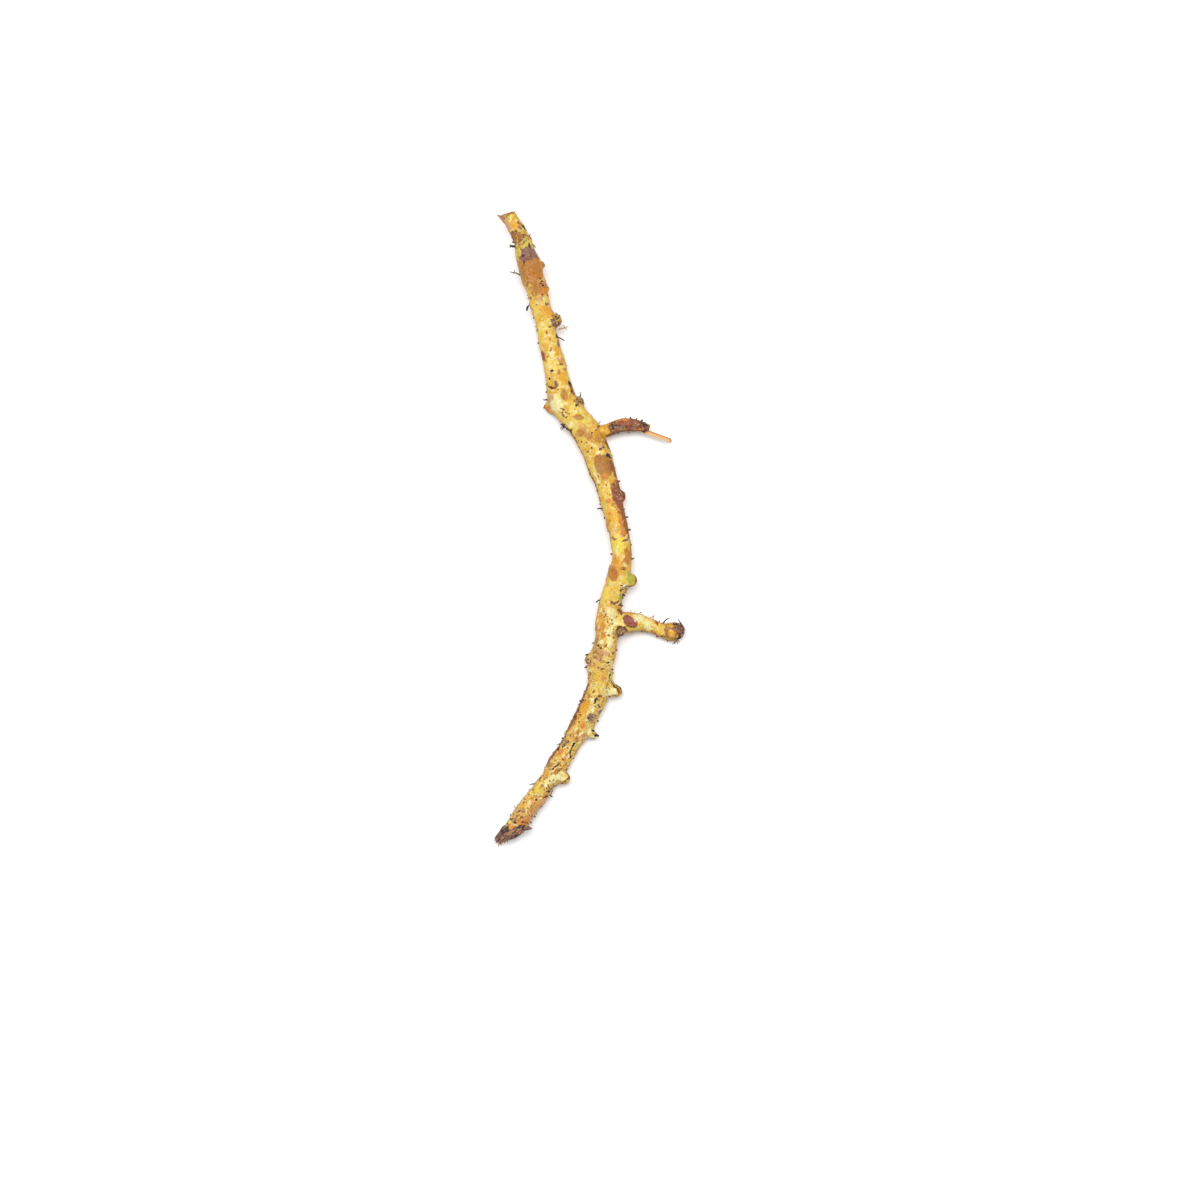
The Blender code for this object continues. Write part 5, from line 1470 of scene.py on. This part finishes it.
def root_skin_material():
    """Mottled yellow skin with painted shade on its flanks and painted highlights on its top, then each
    layer of marks over it, then crust and torn flesh.
    """
    material, wire, shader = new_material("root_skin_look", 0.5)
    shader.inputs["Specular IOR Level"].default_value = 0.3
    mm = millimetres(wire)
    grain = wire.node("ShaderNodeAttribute", {"attribute_name": "grain"}).outputs["Vector"]
    threads = wire.group(fibre_grain, Grain=grain, Fineness=1.6)
    weathered = wire.value_of("weathered")

    def tint(skin, mask, strength, tone):
        return wire.mix(wire.times(mask, strength), skin, colour(tone))

    def cover(skin, value, low, high, tone, strength, more=0.0):
        """Lay a tone where a value is high, more of it where the skin is weathered."""
        spread = wire.plus(value, wire.times(weathered, more))
        return tint(skin, wire.between(spread, low, high), strength, tone)

    facing = wire.value_of("facing")
    # flank is 1 where the skin turns to the side, and is used for painted shade there.
    flank = wire.between(facing, 0.92, 0.60)
    slow = wire.noise(mm, 0.30, 4.0, 0.6)
    skin = wire.mix(wire.between(slow, 0.44, 0.62), colour("pale_yellow"), colour("deep_yellow"))
    skin = cover(skin, wire.noise(mm, 0.65, 4.0, 0.65, 5.0), 0.50, 0.64, "gold", 0.70)
    # Pale cream clouds: the skin's own pale mottling and painted highlights, held back on the flanks.
    pale = wire.noise(mm, 0.85, 5.0, 0.72, 11.0)
    skin = cover(skin, wire.minus(pale, wire.times(flank, 0.10)), 0.50, 0.62, "cream_and_highlight", 0.90)
    skin = cover(skin, wire.noise(mm, 0.60, 5.0, 0.7, 19.0), 0.61, 0.73, "ochre", 0.70, 0.045)
    skin = cover(skin, wire.noise(mm, 1.10, 5.0, 0.7, 27.0), 0.62, 0.72, "orange", 0.70, 0.05)
    skin = cover(skin, threads, 0.54, 0.74, "ochre", 0.28)
    # Painted shade: deeper yellow on the flanks.
    skin = cover(skin, flank, 0.0, 1.0, "deep_yellow", 0.45)

    # Orange, then brown, towards the rims and underside: painted shade at the rims, over the browner bark
    # of the flanks.
    under = wire.between(facing, 0.74, 0.40)
    skin = cover(skin, under, 0.15, 0.60, "orange", 0.62)
    skin = cover(skin, under, 0.50, 1.00, "brown", 0.48)
    low = wire.times(under, wire.between(wire.noise(mm, 0.5, 5.0, 0.65, 33.0), 0.40, 0.62))
    skin = cover(skin, low, 0.5, 0.95, "gold", 0.75)
    clouds = wire.mix(wire.noise(mm, 0.8, 5.0, 0.7, 51.0), colour("pale_yellow"), colour("gold"))
    skin = wire.mix(wire.times(wire.between(under, 0.90, 1.0), 0.35), skin, clouds)

    # Painted shade in the pits and painted highlight on the bumps, laid over the weathered skin's own
    # mottling.
    pitted = wire.noise(mm, 1.35, 5.0, 0.72, 61.0)
    pit_shade_and_bump_light = wire.times(wire.between(weathered, 0.2, 1.0), 0.75)
    skin = tint(skin, wire.between(pitted, 0.54, 0.60), pit_shade_and_bump_light, "FBE795")
    skin = tint(skin, wire.between(pitted, 0.46, 0.40), pit_shade_and_bump_light, "B06C2E")
    flecks = wire.noise(mm, 2.2, 3.0, 0.7, 71.0)
    dusty = wire.times(wire.between(weathered, 0.25, 0.9), 0.75)
    skin = tint(skin, wire.between(flecks, 0.555, 0.60), dusty, "8E5024")
    skin = tint(skin, wire.between(flecks, 0.44, 0.39), dusty, "FBE27E")

    blots = wire.noise(mm, 1.5, 4.0, 0.6, 41.0)
    skin = cover(skin, blots, 0.66, 0.735, "brown", 0.85, 0.055)
    spots = wire.group(freckles, Vector=mm, Scale=0.85, Size=0.15, Share=0.40)
    skin = tint(skin, spots, 0.80, "brown")
    dots = wire.group(freckles, Vector=wire.moved(mm, (7.0, 3.0, 5.0)), Scale=1.5, Size=0.17,
                      Share=wire.plus(0.08, wire.times(weathered, 0.16)))
    skin = tint(skin, dots, 0.85, "umber")

    masks = {}
    for kind in LAYERS:
        scale, raggedness, softness = EDGES[kind]
        masks[kind] = wire.group(ragged_edge, Mask=wire.value_of(kind), Vector=mm, Scale=scale,
                                 Raggedness=raggedness, Softness=softness)
        tone = colour(kind)
        if kind == "bark":
            streaks = wire.noise(wire.scaled(grain, (0.30, 2.2, 2.2)), 1.0, 5.0, 0.65)
            tone = wire.mix(wire.between(streaks, 0.36, 0.56), colour("54423C"), colour("A67F6E"))
            tone = wire.mix(wire.between(streaks, 0.58, 0.68), tone, colour("D2A680"))
        varied = wire.group(varied_tone, Color=tone, Vector=mm, Scale=2.2,
                            Amount=0.45 if kind in ("lemon", "gold", "cream_and_highlight") else 0.8)
        skin = wire.mix(masks[kind], skin, varied)

    crust = wire.value_of("crust")
    rubble = wire.noise(mm, 1.9, 5.0, 0.7)
    skin = tint(skin, wire.times(crust, wire.between(rubble, 0.55, 0.64)), 0.70, "DCC294")
    skin = tint(skin, wire.times(crust, wire.between(rubble, 0.47, 0.38)), 0.72, "462E22")

    torn = wire.value_of("torn")
    flesh = wire.noise(mm, 1.5, 5.0, 0.75, 81.0)
    torn_tone = wire.mix(wire.between(flesh, 0.44, 0.57), colour("B07C3C"), colour("F2DA8E"))
    pores = wire.times(wire.between(wire.noise(mm, 4.5, 3.0, 0.6, 91.0), 0.55, 0.61), 0.6)
    skin = wire.mix(torn, skin, wire.mix(pores, torn_tone, colour("8A5A2C")))
    skin = wire.group(varied_tone, Color=skin, Vector=mm, Scale=3.0, Amount=0.45)
    wire.feed(shader.inputs["Base Color"], skin)

    barky = wire.larger(crust, wire.larger(masks["brown"], masks["umber"]))
    barky = wire.larger(barky, wire.larger(masks["bark"], torn))
    rough = wire.minus(0.76, wire.times(wire.minus(1.0, barky), 0.28))
    rough = wire.plus(rough, wire.times(wire.minus(pale, 0.5), 0.3))
    wire.feed(shader.inputs["Roughness"], rough)

    fine = wire.noise(mm, 4.0, 6.0, 0.65)
    height = wire.plus(wire.times(threads, 0.6), wire.times(fine, 0.5))
    height = wire.plus(height, wire.times(wire.times(crust, rubble), 1.4))
    height = wire.plus(height, wire.times(wire.plus(spots, dots), 0.3))
    bump = wire.node("ShaderNodeBump", Height=height, Strength=0.55, Distance=0.00028)
    wire.feed(shader.inputs["Normal"], bump.outputs["Normal"])
    return material


def toned_material(name, tones, roughness, grain_scale=3.0):
    """A dry fibrous look whose tone comes from each small form's own value."""
    material, wire, shader = new_material(name, roughness)
    mm = millimetres(wire)
    tone = wire.value_of("tone")
    drift = wire.noise(mm, grain_scale, 5.0, 0.65)
    moved = wire.plus(tone, wire.times(wire.minus(drift, 0.5), 0.9), True)
    ramp = wire.node("ShaderNodeValToRGB", Fac=moved)
    elements = ramp.color_ramp.elements
    elements[0].color = colour(tones[0])
    elements[1].color = colour(tones[-1])
    for index, tone_name in enumerate(tones[1:-1]):
        elements.new((index + 1) / (len(tones) - 1)).color = colour(tone_name)
    wire.feed(shader.inputs["Base Color"], ramp.outputs["Color"])
    fine = wire.noise(mm, grain_scale * 2.5, 5.0, 0.6)
    bump = wire.node("ShaderNodeBump", Height=fine, Strength=0.5, Distance=0.0001)
    wire.feed(shader.inputs["Normal"], bump.outputs["Normal"])
    rough = wire.plus(roughness - 0.1, wire.times(fine, 0.2))
    wire.feed(shader.inputs["Roughness"], rough)
    return material


# Growing tip, bud, splinter, frays


def collar_station(degrees):
    """Where the growing tip's dark skin starts, this far round from the stem's top."""
    for station in range(stem.under(-20.5, -86.5), len(stem.run) - 4):
        point = skin_at(stem, station, degrees)[0]
        if point.y < np.interp(point.x, *zip(*COLLAR_LINE)):
            return station
    return len(stem.run) - 4


def tip_scales():
    """Dry narrow scales that run from the collar together to the tip, with orange-brown ends."""
    heap = Heap()
    draw = random.Random(17)
    last = len(stem.run) - 1
    for each in range(TIP_SCALES):
        degrees = 1.57 * each + draw.uniform(-6, 6)
        first = collar_station(degrees) + draw.choice((-0.7, -0.3, 0.3, 1.0, 2.0, 3.2, 4.6, 6.0))
        if first > last - 1.2:
            continue
        lifts = [-0.08, 0.04, 0.10, 0.13, 0.13, 0.11, draw.uniform(0.04, 0.26)]
        path = along_skin(stem, first, min(last, first + draw.uniform(1.0, 2.6)), degrees,
                          draw.uniform(-26, 26), lifts)
        if too_low(path, SCALES_LOWEST):
            continue
        girth = float(stem.run[int(first), 3]) / 2.85
        width = draw.uniform(0.13, 0.34) * girth
        widths = [width * max(0.15, 1 - (step / 6) ** 2.2) for step in range(7)]
        depth = draw.uniform(0.07, 0.13)
        shade = 0.48 + 1.3 * noise.noise(path[2] / 0.6) + 0.38 * draw.uniform(-1, 1)
        shade -= 0.30 * float(eased(*CAP_DARKENS, path[2].x))
        fringe = 0.5 if 45 < degrees < 130 or draw.random() < 0.12 else 0.0
        tones = [min(1.0, max(0.0, shade + fringe * max(0.0, step / 6 - 0.5))) for step in range(7)]
        heap.grow(path, widths, [depth] * 7, stem.outward(int(first), degrees), 8, tones)
    for each in range(TIP_FIBRES):
        at_end = draw.random() < 0.3
        station = last - draw.randint(0, 1) if at_end else draw.randint(stem.under(-22.0, -89.0), last)
        degrees = draw.uniform(-180, 180) if at_end else draw.uniform(60, 125)
        skin_point, out = skin_at(stem, station, degrees)
        heading = out * draw.uniform(0.1, 0.5) + Vector(stem.along[station])
        path = wandering_path(draw, skin_point - out * 0.15 - Vector(stem.along[station]) * 0.3, heading,
                              draw.uniform(0.6, 1.0), 0.5)
        if too_low(path, SCALES_LOWEST):
            continue
        fibre(heap, path, draw.uniform(0.10, 0.17), 0.07, draw.uniform(0.6, 1.0), 6)
    flake = [Vector(point) for point in COLLAR_FLAKE]
    heap.grow(flake, [1.3, 1.2, 0.86, 0.50, 0.12], [0.20, 0.20, 0.18, 0.14, 0.06], (0, 0, 1), 12, 0.22)
    for rise, tone in ((-0.55, 0.75), (-0.30, 0.05), (0.05, 0.45), (0.30, 0.05), (0.60, 0.60)):
        ridge = [point + Vector((0.0, rise * (1 - step / 4), 0.18)) for step, point in enumerate(flake)]
        fibre(heap, ridge, 0.17, 0.08, tone, 7)
    return heap


def bud_scales():
    """Scales and curled threads round the lower branch's bud."""
    heap = Heap()
    draw = random.Random(23)
    last = len(lower.run) - 1
    for row, (place, count, length) in enumerate(((0.72, 9, 4.6), (0.80, 8, 4.2), (0.88, 7, 3.4))):
        first = lower.at_share(place)
        for each in range(count):
            degrees = 360 * each / count + 17 * row + draw.uniform(-9, 9)
            path = along_skin(lower, first, min(last, first + length), degrees, draw.uniform(-24, 24),
                              [-0.10, 0.04, 0.08, 0.09, 0.08, 0.06, 0.02])
            if too_low(path):
                continue
            width = draw.uniform(0.22, 0.50)
            widths = [width * max(0.15, 1 - (step / 6) ** 2) for step in range(7)]
            tone = (draw.uniform(0.55, 1.0), draw.uniform(0.35, 0.8), draw.uniform(0.0, 0.3))[row]
            tones = [max(0.0, tone - 0.10 * step * (row == 1)) for step in range(7)]
            heap.grow(path, widths, [0.08] * 7, lower.outward(first, degrees), 8, tones)
    for start, end in BUD_BANDS:
        x0, y0 = on_part(*start)
        x1, y1 = on_part(*end)
        path = []
        for step in range(9):
            share = step / 8
            bow = -0.35 * math.sin(math.pi * share)
            hit, normal = skin_below(x0 + (x1 - x0) * share + bow, y0 + (y1 - y0) * share)
            if hit is not None and hit.z > 1.0:
                path.append(hit + normal * 0.05)
        fibre(heap, path, 0.11, 0.08, draw.uniform(0.25, 0.6), 6)
    for each in range(BUD_THREADS):
        station = lower.at_share(draw.uniform(0.70, 0.98))
        degrees = 180 + draw.uniform(-95, 95)
        skin_point, out = skin_at(lower, station, degrees)
        heading = out + Vector(lower.along[station]) * draw.uniform(-0.8, 0.8)
        path = wandering_path(draw, skin_point - out * 0.2, heading, draw.uniform(0.5, 1.0), 1.2, 9)
        if too_low(path):
            continue
        fibre(heap, path, draw.uniform(0.08, 0.14), 0.05, draw.uniform(0.2, 0.9), 5)
    return heap


def splinter():
    """The long pale splinter where the upper branch was torn: strands of wood side by side."""
    heap = Heap()
    draw = random.Random(29)
    start = Vector(SPLINTER[0])
    end = Vector(SPLINTER[1])
    along = (end - start).normalized()
    across = along.cross(Vector((0, 0, 1))).normalized()
    up = across.cross(along)
    length = (end - start).length
    core = [start + along * (length * step / 8 - 0.6) for step in range(9)]
    heap.grow(core, [0.56] * 9, [0.34] * 9, up, 12, [0.15] * 8 + [0.9])
    for index in range(11):
        aside = -0.56 + 1.12 * index / 10
        rise = 0.14 + 0.20 * math.sin(3.1 * (index + 0.5) / 11) + draw.uniform(-0.03, 0.03)
        begin = draw.uniform(-0.9, 0.3)
        reach = length - abs(draw.gauss(0.0, 0.22)) + (0.1 if 2 < index < 9 else -0.2)
        path = []
        for step in range(15):
            t = step / 14
            sway = 0.06 * math.sin(5 * t + index) * (1 - t)
            path.append(start + along * (begin + (reach - begin) * t)
                        + across * (aside * (1 - 0.06 * t) + sway)
                        + up * (rise + 0.03 * math.sin(9 * t + 2 * index)))
        width = draw.uniform(0.13, 0.18)
        depth = draw.uniform(0.14, 0.20)
        tone = max(0.0, 0.80 - 0.13 * index) + draw.uniform(0.0, 0.18)
        spots = [0.55 if abs(step - 3.4) < 0.8 and 2 < index < 7 else 0.0 for step in range(15)]
        tones = [min(1.0, tone + spots[step] + (0.5 if step > 13 else 0.0)) for step in range(15)]
        heap.grow(path, [width] * 13 + [0.9 * width, 0.6 * width], [depth] * 15, up, 8, tones)
    return heap


def frays():
    """Tan shreds of skin: at the torn end, the green knob's foot and the lower branch's foot."""
    heap = Heap()
    draw = random.Random(31)
    torn = Vector(TORN_FACE_LOOKS).normalized()
    side = torn.cross(Vector((0, 0, 1))).normalized()
    rise = side.cross(torn)
    face = Vector(TORN_FACE)
    for each in range(RIM_SHREDS):
        turn = 2 * math.pi * each / RIM_SHREDS + draw.uniform(-0.05, 0.05)
        rim = face + side * (RIM_RADIUS * math.cos(turn)) + rise * (RIM_RADIUS * math.sin(turn))
        heading = torn + 0.25 * (rim - face).normalized() * draw.uniform(-0.6, 0.8)
        path = wandering_path(draw, rim - torn * 0.9, heading, 0.95 + abs(draw.gauss(0.0, 0.22)), 0.25, 5)
        widths = [draw.uniform(0.14, 0.22) * (1 - 0.75 * (step / 5) ** 2) for step in range(6)]
        heap.grow(path, widths, [0.07] * 6, rim - face, 6, draw.uniform(0.3, 0.95))
    cut = random.Random(37)
    for each in range(BUNDLES):
        turn = 2 * math.pi * (each + cut.uniform(-0.22, 0.22)) / BUNDLES
        middle = face + BUNDLE_RING * (side * math.cos(turn) + rise * math.sin(turn))
        stub = [middle + torn * height for height in (-0.6, 0.0, 0.24, 0.36)]
        thick = cut.uniform(0.17, 0.27)
        heap.grow(stub, [1.25 * thick, 1.25 * thick, thick, 0.5 * thick],
                  [thick, thick, 0.8 * thick, 0.4 * thick],
                  side * math.sin(turn) - rise * math.cos(turn), 8, cut.uniform(0.5, 0.85))
    heap.grow(TORN_FLAP, [0.75, 0.66, 0.48, 0.28, 0.10], [0.16] * 5, (0, 0, 1), 8, 0.5)
    add_seen_shreds(heap)
    for px, py, count, reach, spread in LOOSE_SHREDS:
        for each in range(count):
            x, y = on_part(px + draw.uniform(-spread, spread), py + draw.uniform(-1.3, 1.3))
            hit, normal = skin_below(x, y)
            if hit is None or hit.z < 0.5:
                continue
            sideways = Vector((draw.gauss(0, 1), draw.gauss(0, 1), draw.uniform(-0.2, 0.5)))
            heading = normal * 0.8 + sideways * 0.7
            path = wandering_path(draw, hit - normal * 0.15, heading, draw.uniform(0.4, 1.0) * reach, 1.0)
            if too_low(path):
                continue
            width = draw.uniform(0.12, 0.24)
            widths = [width * (1 - 0.5 * step / 7) for step in range(8)]
            heap.grow(path, widths, [0.06] * 8, normal, 6, draw.uniform(0.0, 0.9))
    return heap


def crumbs():
    """Grains of dry crust that cling to the lumps and, by rule, to the rest of the skin."""
    heap = Heap()
    draw = random.Random(37)
    ball = bmesh.new()
    bmesh.ops.create_icosphere(ball, subdivisions=2, radius=1.0)
    unit_points = [vertex.co.copy() for vertex in ball.verts]
    unit_faces = [tuple(vertex.index for vertex in face.verts) for face in ball.faces]
    ball.free()

    def grain(place, size, tone):
        shift = Vector((draw.uniform(0, 90), draw.uniform(0, 90), draw.uniform(0, 90)))
        stretch = Vector((draw.uniform(0.7, 1.4), draw.uniform(0.7, 1.4), draw.uniform(0.6, 1.0)))
        spin = Matrix.Rotation(draw.uniform(0, 6.3), 3, "Z")
        turn = spin @ Matrix.Rotation(draw.uniform(-0.6, 0.6), 3, "X")
        points = []
        for point in unit_points:
            bulge = 1.0 + 0.55 * noise.noise(point * 1.4 + shift)
            points.append(place + turn @ Vector((point.x * stretch.x, point.y * stretch.y,
                                                 point.z * stretch.z)) * size * bulge)
        if min(point.z for point in points) > 0.02:
            heap.add(points, unit_faces, [tone] * len(points))

    for px, py, half_length, half_width, degrees, strength in [whole_patch(*entry) for entry in CRUSTS]:
        x0, y0 = on_part(px, py)
        for each in range(int(strength * (8 + 1.1 * half_length * half_width))):
            turn = draw.uniform(0, 2 * math.pi)
            reach = math.sqrt(draw.random()) * PIXEL
            hit, normal = skin_below(x0 + reach * half_length * math.cos(turn),
                                     y0 + reach * half_width * math.sin(turn))
            if hit is not None and hit.z > 0.6:
                size = draw.uniform(0.12, 0.34) * (0.6 + 0.4 * strength)
                grain(hit + normal * size * 0.1, size, draw.random())
    for each in range(LOOSE_CRUMBS):
        strand = draw.choice([stem, stem, stem, stem, upper, lower])
        station = strand.at_share(0.03 + 0.94 * draw.random() ** 0.8)
        reach = 178 if strand is upper else 100
        degrees = 180 + draw.uniform(-reach, reach)
        hit, out = skin_at(strand, station, degrees)
        size = draw.uniform(0.08, 0.22)
        grain(hit + out * size * 0.2, size, draw.random() ** 1.5)
    return heap


# Stage, light and camera


def stage():
    """The pale floor, three soft lamps, the white sky and the camera straight above."""
    bpy.ops.mesh.primitive_plane_add(size=6.0, location=(0, 0, -0.0002))
    floor = bpy.context.active_object
    floor.name = "pale_floor"
    material, wire, shader = new_material("pale_floor_look", 0.9)
    shader.inputs["Base Color"].default_value = (0.90, 0.90, 0.90, 1.0)
    shader.inputs["Specular IOR Level"].default_value = 0.1
    floor.data.materials.append(material)

    def softbox(name, place, width, height, power):
        """A lamp that looks at the origin."""
        light = bpy.data.lights.new(name, "AREA")
        light.shape = "RECTANGLE"
        light.size = width
        light.size_y = height
        light.energy = power
        lamp = put(name, light)
        lamp.location = place
        lamp.rotation_euler = (-Vector(place)).to_track_quat("-Z", "Y").to_euler()

    softbox("left_softbox", (-0.8, 0.35, 1.15), 0.8, 0.8, 8.5)
    softbox("right_softbox", (0.9, 0.1, 1.15), 0.8, 0.8, 6.0)
    softbox("top_softbox", (0.0, 0.3, 1.6), 0.9, 0.6, 21.0)

    world = bpy.data.worlds.new("studio")
    world.use_nodes = True
    world.node_tree.nodes["Background"].inputs["Color"].default_value = (1.0, 1.0, 1.0, 1.0)
    world.node_tree.nodes["Background"].inputs["Strength"].default_value = 0.30
    bpy.context.scene.world = world

    lens = bpy.data.cameras.new("camera")
    lens.lens = 120.0
    lens.sensor_width = 36.0
    lens.clip_start = 0.01
    camera = put("camera", lens)
    camera.location = (0.0028, -0.0215, 1.205)
    bpy.context.scene.camera = camera
    bpy.context.scene.view_settings.view_transform = "Standard"
    bpy.context.scene.view_settings.look = "None"


# Put together

skin = skin_piece()
skin.data.materials.clear()
skin.data.materials.append(root_skin_material())
bvh = BVHTree.FromObject(skin, bpy.context.evaluated_depsgraph_get())

rootlet_look = toned_material("dark_rootlet_look", ["1E1511", "3B281D", "6B4630", "8A5F3F"], 0.75)
scale_look = toned_material("tip_scale_look", ["372A26", "7C5C4E", "AE8476", "DE9E62"], 0.8)
bud_look = toned_material("bud_scale_look", ["3A2B26", "7A5236", "C08A3E", "E8BE5C"], 0.5)
splinter_look = toned_material("splinter_look", ["FADAA8", "F2BC7C", "DF8A3E", "A4652F"], 0.7)
fray_look = toned_material("fray_look", ["F0DDC0", "DDB083", "B97F50", "7D5236"], 0.75)
crumb_look = toned_material("crumb_look", ["3E2C20", "7A583C", "B48C58", "DCC294"], 0.9)

rootlets = Heap()
add_seen_rootlets(rootlets)
add_edge_stumps(rootlets)
add_prongs(rootlets)
add_hidden_rootlets(rootlets)

pieces = [skin,
          rootlets.piece("rootlets", rootlet_look),
          tip_scales().piece("tip_scales", scale_look),
          bud_scales().piece("bud_scales", bud_look),
          splinter().piece("splinter", splinter_look),
          frays().piece("skin_frays", fray_look),
          crumbs().piece("crust_crumbs", crumb_look)]
for piece in pieces:
    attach(piece, "root")
    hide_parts("root")

stage()
